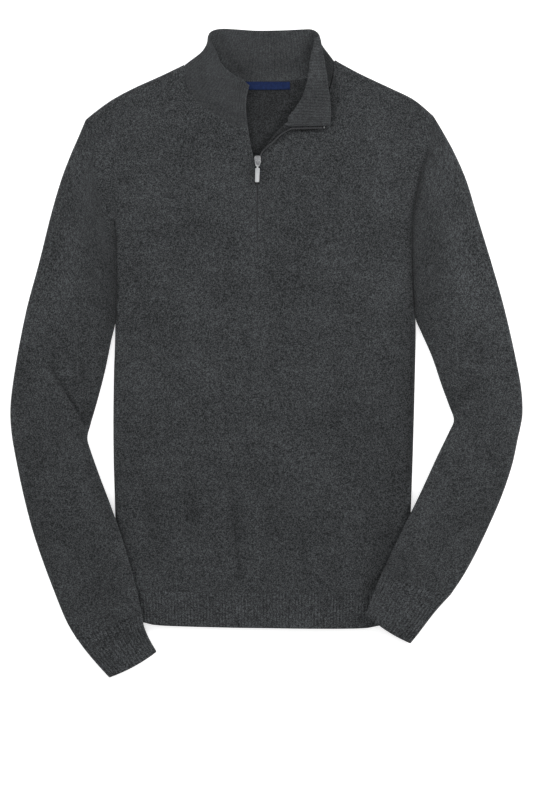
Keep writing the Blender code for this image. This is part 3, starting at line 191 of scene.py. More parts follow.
# Soft folds: a line in plan, half width and height (a trough is negative)
BODY_FOLDS = [
    (-42.0, -155.0, -32.0, -280.0, 9.0, -0.9),
    (-136.0, -120.0, -136.0, -262.0, 8.0, -0.6),
    (-87.0, -150.0, -87.0, -270.0, 9.0, 0.5),
    (10.0, -140.0, 12.0, -272.0, 9.0, 0.5),
    (46.0, -180.0, 49.0, -274.0, 8.0, -0.6),
    (84.0, 20.0, 86.0, -160.0, 12.0, -0.5),
]
BODY_CREASES = [
    (-41.0, -150.0, -31.5, -282.0, 4.0, -0.8),
    (-60.0, -196.0, -52.0, -280.0, 6.0, 0.5),
    (-20.0, -190.0, -12.0, -276.0, 5.0, 0.45),
    (28.0, -200.0, 30.0, -278.0, 5.0, 0.4),
    (-112.0, -200.0, -110.0, -276.0, 5.0, 0.4),
    (74.0, -205.0, 76.0, -277.0, 5.0, 0.35),
    (-160.0, -185.0, -150.0, -268.0, 6.0, -0.5),
    (-176.0, 120.0, -120.0, 60.0, 7.0, -0.5),
    (172.0, 118.0, 122.0, 66.0, 7.0, -0.5),
    (-60.0, 236.0, -30.0, 160.0, 8.0, -0.35),
    (34.0, 236.0, 10.0, 168.0, 8.0, -0.35),
    (160.0, -190.0, 126.0, -276.0, 9.0, -0.9),
    (-21.0, 131.0, -21.0, 224.0, 1.3, -0.45),
    (-1.8, 131.0, -1.8, 243.0, 1.3, -0.45),
    (-21.0, 131.0, -1.8, 131.0, 1.3, -0.35),
]
SLEEVE_FOLDS = [
    (-270.0, 2.0, -265.0, -22.0, 7.0, -1.0),
    (-265.0, -22.0, -236.0, -63.0, 7.0, -1.3),
    (-236.0, -63.0, -222.0, -90.0, 7.0, -1.3),
    (-229.0, -15.0, -224.0, -72.0, 6.0, -0.9),
    (247.0, -42.0, 226.0, -78.0, 7.0, -1.3),
    (281.0, -30.0, 248.0, -66.0, 8.0, -0.8),
]
SLEEVE_CREASES = [
    (-266.0, -20.0, -237.0, -61.0, 3.2, -1.8),
    (-240.0, -58.0, -221.0, -92.0, 3.0, -2.0),
    (-258.0, -44.0, -230.0, -90.0, 5.0, 1.1),
    (-228.0, -18.0, -223.0, -70.0, 3.0, -1.3),
    (-250.0, -96.0, -224.0, -106.0, 4.0, -1.1),
    (-236.0, -118.0, -220.0, -108.0, 3.5, -0.6),
    (-300.0, -60.0, -280.0, -96.0, 7.0, -0.5),
    (-205.0, 140.0, -246.0, 150.0, 7.0, -0.6),
    (-200.0, 110.0, -232.0, 96.0, 6.0, -0.5),
    (-262.0, -190.0, -240.0, -260.0, 7.0, -0.5),
    (-212.0, -250.0, -196.0, -300.0, 6.0, 0.5),
    (246.0, -40.0, 228.0, -76.0, 3.2, -1.9),
    (262.0, -62.0, 230.0, -82.0, 5.0, 0.9),
    (252.0, -96.0, 230.0, -86.0, 3.5, -1.1),
    (240.0, -112.0, 224.0, -98.0, 3.5, -0.5),
    (280.0, -32.0, 250.0, -64.0, 4.0, -0.6),
    (198.0, 144.0, 238.0, 150.0, 7.0, -0.6),
    (196.0, 108.0, 228.0, 98.0, 6.0, -0.5),
    (258.0, -160.0, 226.0, -222.0, 7.0, -0.5),
    (196.0, -226.0, 178.0, -262.0, 6.0, 0.5),
]

# Painted shade and painted light on the cloth: how far each mark reaches, how much of the light it takes (a negative
# share paints light instead), the height above which it ends, and its line in plan. They darken seams, creases, the
# body's sides, the cloth beside the sleeves and round the collar and lapel, and lighten a few places.
PAINTED_SHADE_AND_LIGHT = [
    (3.2, 0.42, 30.0, [(-185.4, 172.0), (-184.6, 130.0), (-184.0, 85.0), (-185.0, 28.0)]),
    (8.0, 0.26, 30.0, [(-190.0, 160.0), (-189.6, 110.0), (-190.0, 70.0), (-191.5, 20.0)]),
    (3.8, 0.46, 30.0, [(200.0, 262.0), (198.0, 248.0), (191.5, 226.0), (184.8, 198.0), (178.8, 170.0),
                       (177.0, 149.0), (177.2, 115.0), (178.6, 76.0), (181.8, 34.0)]),
    (9.0, 0.12, 30.0, [(176.0, 190.0), (172.0, 140.0), (172.0, 90.0), (176.0, 30.0)]),
    (7.0, 0.50, 9.0, [(182.5, 44.0), (181.5, 0.0), (179.5, -60.0), (178.0, -106.0), (176.0, -172.0)]),
    (19.0, 0.13, 9.6, [(174.0, 70.0), (172.0, 0.0), (170.0, -60.0), (167.0, -150.0)]),
    (36.0, 0.07, 30.0, [(-288.0, -104.0), (-250.0, -200.0), (-204.0, -320.0)]),
    (12.0, 0.20, 30.0, [(-230.0, -64.0), (-220.0, -104.0), (-208.0, -140.0), (-195.0, -176.0), (-172.0, -240.0)]),
    (24.0, 0.12, 30.0, [(-296.0, 6.0), (-300.0, -60.0), (-292.0, -116.0)]),
    (26.0, 0.13, 30.0, [(142.0, -60.0), (140.0, -150.0), (130.0, -240.0)]),
    (26.0, -0.16, 30.0, [(216.0, 270.0), (228.0, 190.0), (238.0, 110.0), (250.0, 10.0)]),
    (11.0, -0.34, 6.0, [(50.0, 346.0), (41.0, 320.0), (30.0, 302.0), (14.0, 282.0), (0.0, 262.0)]),
    (30.0, -0.06, 30.0, [(-216.0, 260.0), (-232.0, 160.0), (-238.0, 90.0)]),
    (15.0, 0.24, 8.0, [(-46.0, 354.0), (-10.0, 344.0), (34.0, 350.0)]),
    (3.0, 0.10, 9.2, [(184.0, -164.0), (170.0, -202.0), (151.0, -241.0), (137.0, -270.0), (123.5, -303.0),
                      (117.5, -322.0)]),
    (15.0, 0.24, 9.2, [(166.0, -186.0), (146.0, -236.0), (131.0, -268.0), (114.0, -312.0)]),
    (2.6, 0.16, 9.2, [(-184.0, -194.0), (-172.5, -231.0), (-160.3, -274.0), (-151.0, -320.0)]),
    (8.0, 0.15, 30.0, [(-190.0, 26.0), (-196.0, -4.0), (-204.0, -34.0), (-213.0, -64.0), (-219.0, -90.0)]),
    (2.0, 0.32, 30.0, [(-268.0, -12.0), (-252.0, -34.0), (-236.0, -62.0), (-220.0, -86.0)]),
    (9.0, 0.18, 30.0, [(-228.0, -6.0), (-226.0, -24.0), (-233.0, -48.0)]),
    (7.0, 0.18, 30.0, [(236.0, -54.0), (247.0, -45.0), (259.0, -39.0)]),
    (3.2, 0.30, 30.0, [(-43.0, -150.0), (-37.0, -224.0), (-31.8, -290.0)]),
    (5.0, 0.20, 30.0, [(44.5, -206.0), (49.4, -280.0)]),
    (12.0, 0.24, 30.0, [(-141.0, -166.0), (-138.0, -226.0)]),
    (9.0, 0.18, 30.0, [(-91.0, -168.0), (-89.0, -216.0)]),
    (10.0, 0.16, 30.0, [(-36.0, -176.0), (-35.0, -226.0)]),
    (9.0, 0.16, 30.0, [(6.0, -176.0), (7.0, -226.0)]),
    (16.0, 0.12, 8.0, [(-92.0, 330.0), (-66.0, 306.0), (-30.0, 290.0)]),
    (6.0, 0.46, 9.2, [(71.0, 370.0), (76.0, 350.0), (80.0, 330.0), (82.0, 306.0), (81.0, 278.0)]),
    (4.2, 0.30, 8.6, [(0.0, 250.0), (9.0, 261.0), (24.0, 268.5), (48.0, 271.5), (80.0, 275.0)]),
    (6.5, 0.26, 8.0, [(-57.0, 390.0), (-49.0, 368.0), (-37.0, 350.0), (-18.0, 337.0)]),
]

# Collar, station by station from the left end of the zip round the back of the neck to the right
# end. "seam" is on the neck seam and "top" on the free edge. A "folded" station turns over at
# "fold"; a "turned" one lies wholly on the turned-over side.
COLLAR_FIELDS = ("kind", "seam_x", "seam_y", "seam_z", "fold_x", "fold_y", "fold_z",
                 "top_x", "top_y", "top_z")
COLLAR = [
    ("flat", -22.3, 274.6, 6.6, 0, 0, 0, -20.8, 325.8, 8.8),
    ("flat", -37.6, 277.6, 6.6, 0, 0, 0, -29.0, 332.4, 9.0),
    ("flat", -51.5, 285.0, 6.6, 0, 0, 0, -36.4, 336.6, 9.2),
    ("flat", -67.0, 294.4, 6.6, 0, 0, 0, -44.0, 341.6, 9.2),
    ("flat", -79.2, 302.4, 6.5, 0, 0, 0, -50.8, 347.4, 9.2),
    ("flat", -90.4, 315.4, 6.2, 0, 0, 0, -56.2, 354.6, 9.2),
    ("flat", -96.6, 328.0, 5.7, 0, 0, 0, -60.2, 364.5, 8.8),
    ("flat", -98.2, 340.0, 5.1, 0, 0, 0, -65.0, 374.6, 7.8),
    ("flat", -98.6, 351.0, 3.5, 0, 0, 0, -70.2, 385.2, 5.4),
    ("flat", -95.4, 349.0, 1.5, 0, 0, 0, -66.6, 393.0, 2.6),
    ("flat", -84.2, 343.3, 1.0, 0, 0, 0, -55.0, 395.9, 1.0),
    ("flat", -62.6, 336.8, 1.0, 0, 0, 0, -36.0, 395.1, 1.0),
    ("flat", -32.3, 333.2, 1.0, 0, 0, 0, -19.0, 394.0, 1.0),
    ("flat", -3.0, 332.4, 1.0, 0, 0, 0, -1.0, 393.6, 1.0),
    ("flat", 28.7, 333.2, 1.0, 0, 0, 0, 22.0, 394.2, 1.0),
    ("flat", 50.4, 337.4, 1.0, 0, 0, 0, 42.0, 395.2, 1.0),
    ("flat", 68.0, 344.8, 1.2, 0, 0, 0, 57.0, 394.4, 2.6),
    ("folded", 81.0, 356.0, 3.4, 60.5, 383.4, 6.6, 65.2, 384.4, 9.0),
    ("folded", 80.6, 344.2, 5.2, 57.6, 370.4, 9.4, 68.2, 368.0, 11.2),
    ("folded", 78.6, 334.0, 6.0, 54.0, 353.2, 9.9, 71.0, 354.4, 11.4),
    ("folded", 74.8, 322.0, 6.4, 52.0, 337.4, 9.9, 73.6, 338.4, 11.2),
    ("folded", 68.2, 311.0, 6.6, 48.8, 323.8, 9.9, 75.2, 323.8, 10.8),
    ("folded", 56.4, 302.0, 6.6, 43.8, 310.4, 9.9, 77.6, 309.2, 10.6),
    ("folded", 45.8, 292.4, 6.6, 36.6, 297.0, 9.7, 78.6, 295.4, 10.6),
    ("folded", 36.0, 285.0, 6.6, 28.6, 285.8, 9.3, 78.2, 284.8, 10.6),
    ("turned", 22.6, 278.4, 8.3, 0, 0, 0, 77.8, 280.4, 10.6),
    ("turned", 28.4, 275.0, 10.0, 0, 0, 0, 77.4, 276.4, 10.6),
]
COLLAR_WAIST = {0: -3.4, 1: -2.2, 2: -0.8, 6: 0.7, 7: 3.0, 8: 7.0, 9: 6.5, 10: 3.0, 11: 0.7}  # bends in
COLLAR_WAIST_SHAPE = (0.0, 0.6, 1.0, 0.8, 0.0)   # share of that at each control point
COLLAR_SEAM_REACH = 0.95               # the seam edge goes this much nearer to its panel
COLLAR_SEAM_REACHES = {5: 1.2, 6: 1.7, 7: 1.5, 8: 1.5, 9: 0.9, 10: 0.6, 11: 0.7, 14: 0.8, 15: 1.2, 16: 1.3,
                       17: 1.5, 18: 1.0}
COLLAR_FOLD_HALF = 1.9
COLLAR_FOLD_REACH = 3.2

# Zip
TAPE_THICK = 0.8
TAPE_WIDTH = 7.0
TAPE_EDGE = 2.0
TAPE_CENTRE_GAP = 0.6
TAPE_EASE = 0.9
TAPE_DEPTH = WALL + SEAM_GAP + TAPE_THICK / 2 + 0.1
SLIDER_CENTRE = (-10.9, 233.8)
PIN_HEIGHT = 10.65
PULL_DROOP = math.radians(3.5)


# --- curves and surfaces -------------------------------------------------------------------

def spline(points: Sequence[Point] | Array, count: int) -> Array:
    """A smooth curve through points (Catmull-Rom).

    Args:
        points: The knots.
        count: How many points to read, at even steps of the knots.

    Returns:
        The curve's points.
    """
    knots = np.asarray(points, float)
    if len(knots) < 3:
        share = np.linspace(0, 1, count)[:, None]
        return knots[0] * (1 - share) + knots[-1] * share
    padded = np.vstack([2 * knots[0] - knots[1], knots, 2 * knots[-1] - knots[-2]])
    at = np.linspace(0, len(knots) - 1, count)
    index = np.minimum(at.astype(int), len(knots) - 2)
    t = (at - index)[:, None]
    p0, p1, p2, p3 = (padded[index + k] for k in range(4))
    return 0.5 * (2 * p1 + (p2 - p0) * t + (2 * p0 - 5 * p1 + 4 * p2 - p3) * t**2
                  + (3 * p1 - p0 - 3 * p2 + p3) * t**3)


def lengths(points: Array) -> Array:
    """Distance along a dense curve to each of its points."""
    return np.concatenate([[0.0], np.cumsum(np.linalg.norm(np.diff(points, axis=0), axis=1))])


def by_length(points: Array, shares: Sequence[float] | Array) -> Array:
    """Points at shares of the length of a dense curve.

    Args:
        points: The curve.
        shares: From 0 at its start to 1 at its end.

    Returns:
        One point for each share.
    """
    points = np.asarray(points, float)
    along = lengths(points)
    at = np.asarray(shares, float) * along[-1]
    return np.stack([np.interp(at, along, points[:, k]) for k in range(points.shape[1])], axis=-1)


def path(points: Sequence[Point], shares: Sequence[float] | Array) -> Array:
    """Points at shares of the length of a smooth curve through a few knots."""
    return by_length(spline(points, 40 * len(points)), shares)


def chain(stretches: Sequence[Sequence[Point]], breaks: Sequence[float], shares: Array) -> Array:
    """Stretches of curve laid end to end.

    Args:
        stretches: The knots of each stretch.
        breaks: The shares at which one stretch gives way to the next.
        shares: Where to read the whole.

    Returns:
        One point for each share.
    """
    shares = np.asarray(shares, float)
    ends = [0.0, *breaks, 1.0]
    out = np.zeros((len(shares), 2))
    for stretch, low, high in zip(stretches, ends[:-1], ends[1:]):
        inside = (shares >= low - 1e-9) & (shares <= high + 1e-9)
        out[inside] = path(stretch, (shares[inside] - low) / (high - low))
    return out


def coons(bottom: Array, top: Array, first: Array, last: Array, columns: Array, rows: Array) -> Array:
    """Fill in a plan grid between four edges.

    Args:
        bottom: The first row.
        top: The last row.
        first: The first column.
        last: The last column.
        columns: Shares across the grid.
        rows: Shares up the grid.

    Returns:
        The grid (row, column, xy).
    """
    u = np.asarray(columns)[None, :, None]
    v = np.asarray(rows)[:, None, None]
    ruled = (1 - v) * bottom[None] + v * top[None] + (1 - u) * first[:, None] + u * last[:, None]
    corners = ((1 - u) * (1 - v) * bottom[0] + u * (1 - v) * bottom[-1]
               + (1 - u) * v * top[0] + u * v * top[-1])
    return ruled - corners


def smoothstep(value: Array | float) -> Array:
    """Ease from 0 to 1 as value goes from 0 to 1."""
    value = np.clip(value, 0.0, 1.0)
    return value * value * (3 - 2 * value)


def unit(vectors: Array) -> Array:
    """Vectors made one long."""
    return vectors / np.maximum(np.linalg.norm(vectors, axis=-1, keepdims=True), 1e-9)


def normals(grid: Array) -> Array:
    """Unit normals of a grid of points."""
    return unit(np.cross(np.gradient(grid, axis=1), np.gradient(grid, axis=0)))


def fine_steps(stops: Sequence[float], sizes: Sequence[float]) -> Array:
    """Shares from one stop to the next, in even steps of about a size for each stretch."""
    out = [np.array([stops[0]])]
    for low, high, size in zip(stops[:-1], stops[1:], sizes):
        count = max(1, round((high - low) / size))
        out.append(np.linspace(low, high, count + 1)[1:])
    return np.concatenate(out)


def with_lips(shares: Array, length: float, start: bool = True, end: bool = True) -> Array:
    """Put extra shares close to the ends of a run, where the edge of the cloth is rounded.

    Args:
        shares: The even shares.
        length: The run's length.
        start: Whether the run's first end is an edge.
        end: Whether its last end is one.

    Returns:
        The shares with the extra ones.
    """
    near = np.array(LIP_STEPS) / length
    keep = shares
    extra = []
    if start:
        keep = keep[keep > near[-1] * 1.3]
        extra.append(near)
    if end:
        keep = keep[keep < 1 - near[-1] * 1.3]
        extra.append(1 - near)
    return np.unique(np.concatenate([keep, *extra]))


def run_length(grid: Array, axis: int) -> Array:
    """Distance from the first row or column of a grid, point by point."""
    steps = np.linalg.norm(np.diff(grid, axis=axis), axis=-1)
    start = np.zeros_like(np.take(steps, [0], axis=axis))
    return np.concatenate([start, np.cumsum(steps, axis=axis)], axis=axis)


class Edge(Enum):
    """How an edge of cloth ends: over what distance it is rounded, and the share of the wall left."""

    NONE = (0.0, 1.0)
    SEWN = (0.5, 0.62)
    FREE = (1.2, 0.22)


def lip(distance: Array, edge: Edge = Edge.FREE) -> Array:
    """Share of the wall's thickness this far from an edge of the cloth."""
    reach, least = edge.value
    bow = np.sqrt(np.maximum(0.0, 1 - (1 - np.clip(distance / reach, 0, 1)) ** 2))
    return least + (1 - least) * bow


def lips(grid: Array, rows: tuple[Edge, Edge], columns: tuple[Edge, Edge]) -> Array:
    """Rounding of a whole grid's edges.

    Args:
        grid: The middle surface.
        rows: How the first and the last row end.
        columns: How the first and the last column end.

    Returns:
        Share of the wall's thickness at each point.
    """
    share = np.ones(grid.shape[:2])
    for axis, (start, end) in ((0, rows), (1, columns)):
        along = run_length(grid, axis)
        if start is not Edge.NONE:
            share = np.minimum(share, lip(along, start))
        if end is not Edge.NONE:
            share = np.minimum(share, lip(np.take(along, [-1], axis=axis) - along, end))
    return share


class Ripple:
    """Gentle unevenness of cloth: a few long waves whose directions are drawn once from a seed."""

    def __init__(self, seed: int, height: float, shortest: float, longest: float, waves: int = 16) -> None:
        """Draw the waves.

        Args:
            seed: Seed of the draw.
            height: About the most that the cloth rises or sinks.
            shortest: Length of the shortest wave.
            longest: Length of the longest.
            waves: How many there are.
        """
        draw = np.random.default_rng(seed)
        turn = draw.uniform(0, math.pi, waves)
        size = draw.uniform(shortest, longest, waves)
        self.wave = np.stack([np.cos(turn), np.sin(turn)]) * (2 * math.pi / size)
        self.phase = draw.uniform(0, 2 * math.pi, waves)
        self.height = height / math.sqrt(waves)

    def at(self, x: Array, y: Array) -> Array:
        """Height of the waves at places of the plan."""
        turn = np.multiply.outer(x, self.wave[0]) + np.multiply.outer(y, self.wave[1]) + self.phase
        return np.sin(turn).sum(axis=-1) * self.height


# --- the lie of the body -------------------------------------------------------------------

def outline_x(sides: Sequence[Point], y: Array) -> Array:
    """Where a side of the body is, at places up the plan."""
    points = spline(sides, 400)
    order = np.argsort(points[:, 1])
    return np.interp(y, points[order, 1], points[order, 0])


def fold_height(x: Array, y: Array, folds: Sequence[Point]) -> Array:
    """Height of a list of soft folds.

    Args:
        x: Places across the plan.
        y: Places up the plan.
        folds: Each fold's line, half width and height.

    Returns:
        The sum of the folds at each place.
    """
    total = np.zeros(np.broadcast(x, y).shape)
    for x0, y0, x1, y1, half_width, height in folds:
        length = math.hypot(x1 - x0, y1 - y0)
        ux, uy = (x1 - x0) / length, (y1 - y0) / length
        along = ((x - x0) * ux + (y - y0) * uy) / length
        across = (x - x0) * -uy + (y - y0) * ux
        ends = smoothstep((along + 0.25) / 0.4) * smoothstep((1.25 - along) / 0.4)
        total = total + height * ends * np.exp(-(across / half_width) ** 2)
    return total


@dataclass
class BodyForm:
    """How the body's upper face lies, for every piece that is part of it or rests on it."""

    left: list[Point] = field(default_factory=lambda: [(-172.6, -322.7), *SIDE_LEFT[:-1], *ARMHOLE_LEFT])
    right: list[Point] = field(default_factory=lambda: [(165.3, -325.1), *SIDE_RIGHT[:-1], *ARMHOLE_RIGHT])
    ripple: Ripple = field(default_factory=lambda: Ripple(11, 0.55, 38.0, 120.0))

    def inside(self, x: Array, y: Array) -> Array:
        """How far inside the nearer side a place is."""
        return np.minimum(x - outline_x(self.left, y), outline_x(self.right, y) - x)

    def top(self, x: Array, y: Array) -> Array:
        """Height of the upper face, leaving out the fold down at the sides."""
        inside = np.maximum(self.inside(x, y), 0.0)
        dip = SEAM_DIP * smoothstep((y - 150.0) / 20.0) * np.exp(-(inside / SEAM_DIP_REACH) ** 2)
        low, high = FULLNESS_LOW
        calm = 1 - smoothstep((y - CALM_FROM) / CALM_OVER)
        full = FULLNESS * smoothstep(inside / FULLNESS_REACH) * smoothstep((y - low) / (high - low)) * calm
        creases = fold_height(x, y, BODY_CREASES) * smoothstep(inside / 20.0)
        wave = self.ripple.at(x, y) * smoothstep(inside / 40.0) * (CALM_RIPPLE + (1 - CALM_RIPPLE) * calm)
        return (EDGE_TOP + CROWN * smoothstep(inside / CROWN_REACH) - dip
                + fold_height(x, y, BODY_FOLDS) + full + creases + wave)

    def under_sleeve(self, x: Array, y: Array) -> Array:
        """What a sleeve rests on: the surface, or the body where the sleeve lies across it."""
        hem_y = outline_x([(b, a) for a, b in HEM_BOTTOM], x)
        inside = np.minimum(self.inside(x, y), y - hem_y)
        on_body = smoothstep((inside + DRAPE_REACH) / (DRAPE_REACH - 1.5))
        edge_x = np.clip(x, outline_x(self.left, y), outline_x(self.right, y))
        below_arm = smoothstep((-90.0 - y) / 40.0)
        level = self.top(edge_x, np.maximum(y, -320.0)) + RIB_RELIEF + SLEEVE_CLEARANCE
        return below_arm * on_body * level


BODY = BodyForm()


def painted_shade_and_light_at(points: Array) -> Array:
    """How much painted shade each place gets: nothing in the open, up to about a half; a line with a negative share
    paints light instead.
    """
    left = np.ones(len(points))
    for reach, share, ceiling, line in PAINTED_SHADE_AND_LIGHT:
        steps = np.linspace(0, 1, 120)
        spots = path(line, steps)
        fade = smoothstep(steps / 0.14) * smoothstep((1 - steps) / 0.14)
        low, high = spots.min(axis=0) - 3 * reach, spots.max(axis=0) + 3 * reach
        near = np.flatnonzero(((points[:, :2] > low) & (points[:, :2] < high)).all(axis=1))
        deep = np.zeros(len(near))
        for spot, most in zip(spots, fade):
            away = np.hypot(points[near, 0] - spot[0], points[near, 1] - spot[1])
            deep = np.maximum(deep, most * np.exp(-(away / reach) ** 2))
        height = points[near, 2]
        shown = smoothstep(height - 0.9) * smoothstep(ceiling + 1.0 - height)
        left[near] *= 1 - share * deep * shown
    return 1 - left


# --- meshes --------------------------------------------------------------------------------

@dataclass
class Cloth:
    """A piece of cloth as a grid of places (row, column).

    upper and lower are its two faces. flat is each place's spot on the flat cloth, which the
    knitting follows; a closed grid has one more column there than in its faces.
    """

    upper: Array
    lower: Array
    flat: Array
    closed: bool = False
    present: Array | None = None
    shared: tuple[Array, int, int] | None = None
    purl_up: bool = False

    def cells(self) -> tuple[Array, Array]:
        """Corners of each cell, as places in the faces and as places in flat."""
        rows, columns = self.upper.shape[:2]
        number = np.arange(rows * columns).reshape(rows, columns)
        if self.shared is not None:
            which, source, target = self.shared
            number[which, target] = number[which, source]
        if self.closed:
            number = np.concatenate([number, number[:, :1]], axis=1)
        spot = np.arange(rows * number.shape[1]).reshape(rows, -1)
        picks = (np.s_[:-1, :-1], np.s_[:-1, 1:], np.s_[1:, 1:], np.s_[1:, :-1])
        corners = np.stack([number[pick] for pick in picks], axis=-1).reshape(-1, 4)
        spots = np.stack([spot[pick] for pick in picks], axis=-1).reshape(-1, 4)
        if self.present is not None:
            keep = self.present.reshape(-1)
            corners, spots = corners[keep], spots[keep]
        return corners, spots

    def to_object(self, name: str) -> bpy.types.Object:
        """Make one closed shell of the two faces and a rim.

        Args:
            name: The object's name.

        Returns:
            The new object, with the UV map "cloth", the attribute "purl" and an attribute of painted shade and light.
        """
        corners, spots = self.cells()
        total = self.upper.shape[0] * self.upper.shape[1]
        starts, ends = corners, np.roll(corners, -1, axis=1)
        spot_ends = np.roll(spots, -1, axis=1)
        forward = starts.astype(np.int64) * total + ends
        backward = ends.astype(np.int64) * total + starts
        rim = ~np.isin(forward, backward)
        sides = np.stack([ends[rim], starts[rim], starts[rim] + total, ends[rim] + total], axis=-1)
        side_spots = np.stack([spot_ends[rim], spots[rim], spots[rim], spot_ends[rim]], axis=-1)
        faces = np.concatenate([corners, corners[:, ::-1] + total, sides])
        face_spots = np.concatenate([spots, spots[:, ::-1], side_spots])
        points = np.concatenate([self.upper.reshape(-1, 3), self.lower.reshape(-1, 3)])
        used, faces = np.unique(faces, return_inverse=True)
        faces = faces.reshape(-1, 4)
        mesh = bpy.data.meshes.new(name)
        mesh.from_pydata((points[used] * MM).tolist(), [], faces.tolist())
        uv = mesh.uv_layers.new(name="cloth")
        uv.data.foreach_set("uv", (self.flat.reshape(-1, 2)[face_spots.reshape(-1)] * MM).ravel())
        purl = mesh.attributes.new("purl", "FLOAT", "FACE")
        wrong = np.zeros(len(faces), np.float32)
        if self.purl_up:
            wrong[:len(corners)] = 1.0
        else:
            wrong[len(corners):2 * len(corners)] = 1.0
        purl.data.foreach_set("value", wrong)
        # painted shade and light at each point, which scales the knit's colour
        painted_shade_and_light = mesh.attributes.new("painted_shade_and_light", "FLOAT", "POINT")
        painted_shade_and_light.data.foreach_set("value", painted_shade_and_light_at(points[used]).astype(np.float32))
        mesh.update()
        mesh.shade_smooth()
        return add_object(name, mesh)


def add_object(name: str, mesh: bpy.types.Mesh) -> bpy.types.Object:
    """Put a mesh in the scene, with its faces turned outward."""
    work = bmesh.new()
    work.from_mesh(mesh)
    if work.calc_volume(signed=True) < 0:
        bmesh.ops.reverse_faces(work, faces=work.faces)
        work.to_mesh(mesh)
    work.free()
    thing = bpy.data.objects.new(name, mesh)
    bpy.context.scene.collection.objects.link(thing)
    return thing


def finished(thing: bpy.types.Object, finish: "Finish", body: str, *nodes: str) -> bpy.types.Object:
    """Give a piece its finish and its place in the frame.

    Args:
        thing: The piece.
        finish: What it is made of.
        body: The body that it moves with.
        nodes: The nodes that it stands for.

    Returns:
        The piece.
    """
    thing.data.materials.clear()
    thing.data.materials.append(finish.material())
    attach(thing, body)
    if nodes:
        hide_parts(*nodes)
    LOG.info("%s: %d faces", thing.name, len(thing.data.polygons))
    return thing


# --- finishes ------------------------------------------------------------------------------

class Val:
    """A socket of a shader tree; sums on it add the nodes that work them out."""

    def __init__(self, tree: "Shader", socket: bpy.types.NodeSocket) -> None:
        """Wrap a socket of a tree."""
        self.tree = tree
        self.socket = socket

    def __add__(self, other: "Val | float") -> "Val":
        """The sum."""
        return self.tree.math("ADD", self, other)

    def __sub__(self, other: "Val | float") -> "Val":
        """The difference."""
        return self.tree.math("SUBTRACT", self, other)

    def __rsub__(self, other: "Val | float") -> "Val":
        """The difference, the other way round."""
        return self.tree.math("SUBTRACT", other, self)

    def __mul__(self, other: "Val | float") -> "Val":
        """The product."""
        return self.tree.math("MULTIPLY", self, other)

    def __pow__(self, other: "Val | float") -> "Val":
        """This to a power."""
        return self.tree.math("POWER", self, other)

    def __rpow__(self, other: "Val | float") -> "Val":
        """A number to the power of this."""
        return self.tree.math("POWER", other, self)

    def __abs__(self) -> "Val":
        """Without its sign."""
        return self.tree.math("ABSOLUTE", self)

    __radd__ = __add__
    __rmul__ = __mul__

    def fraction(self) -> "Val":
        """What is left past the whole number."""
        return self.tree.math("FRACT", self)

    def whole(self) -> "Val":
        """The whole number below."""
        return self.tree.math("FLOOR", self)

    def clamped(self) -> "Val":
        """Kept between 0 and 1."""
        return self.tree.math("MINIMUM", self.tree.math("MAXIMUM", self, 0.0), 1.0)

    def hump(self) -> "Val":
        """1 in the middle of a fraction and 0 at both its ends."""
        return 1 - (2 * self - 1) ** 2.0


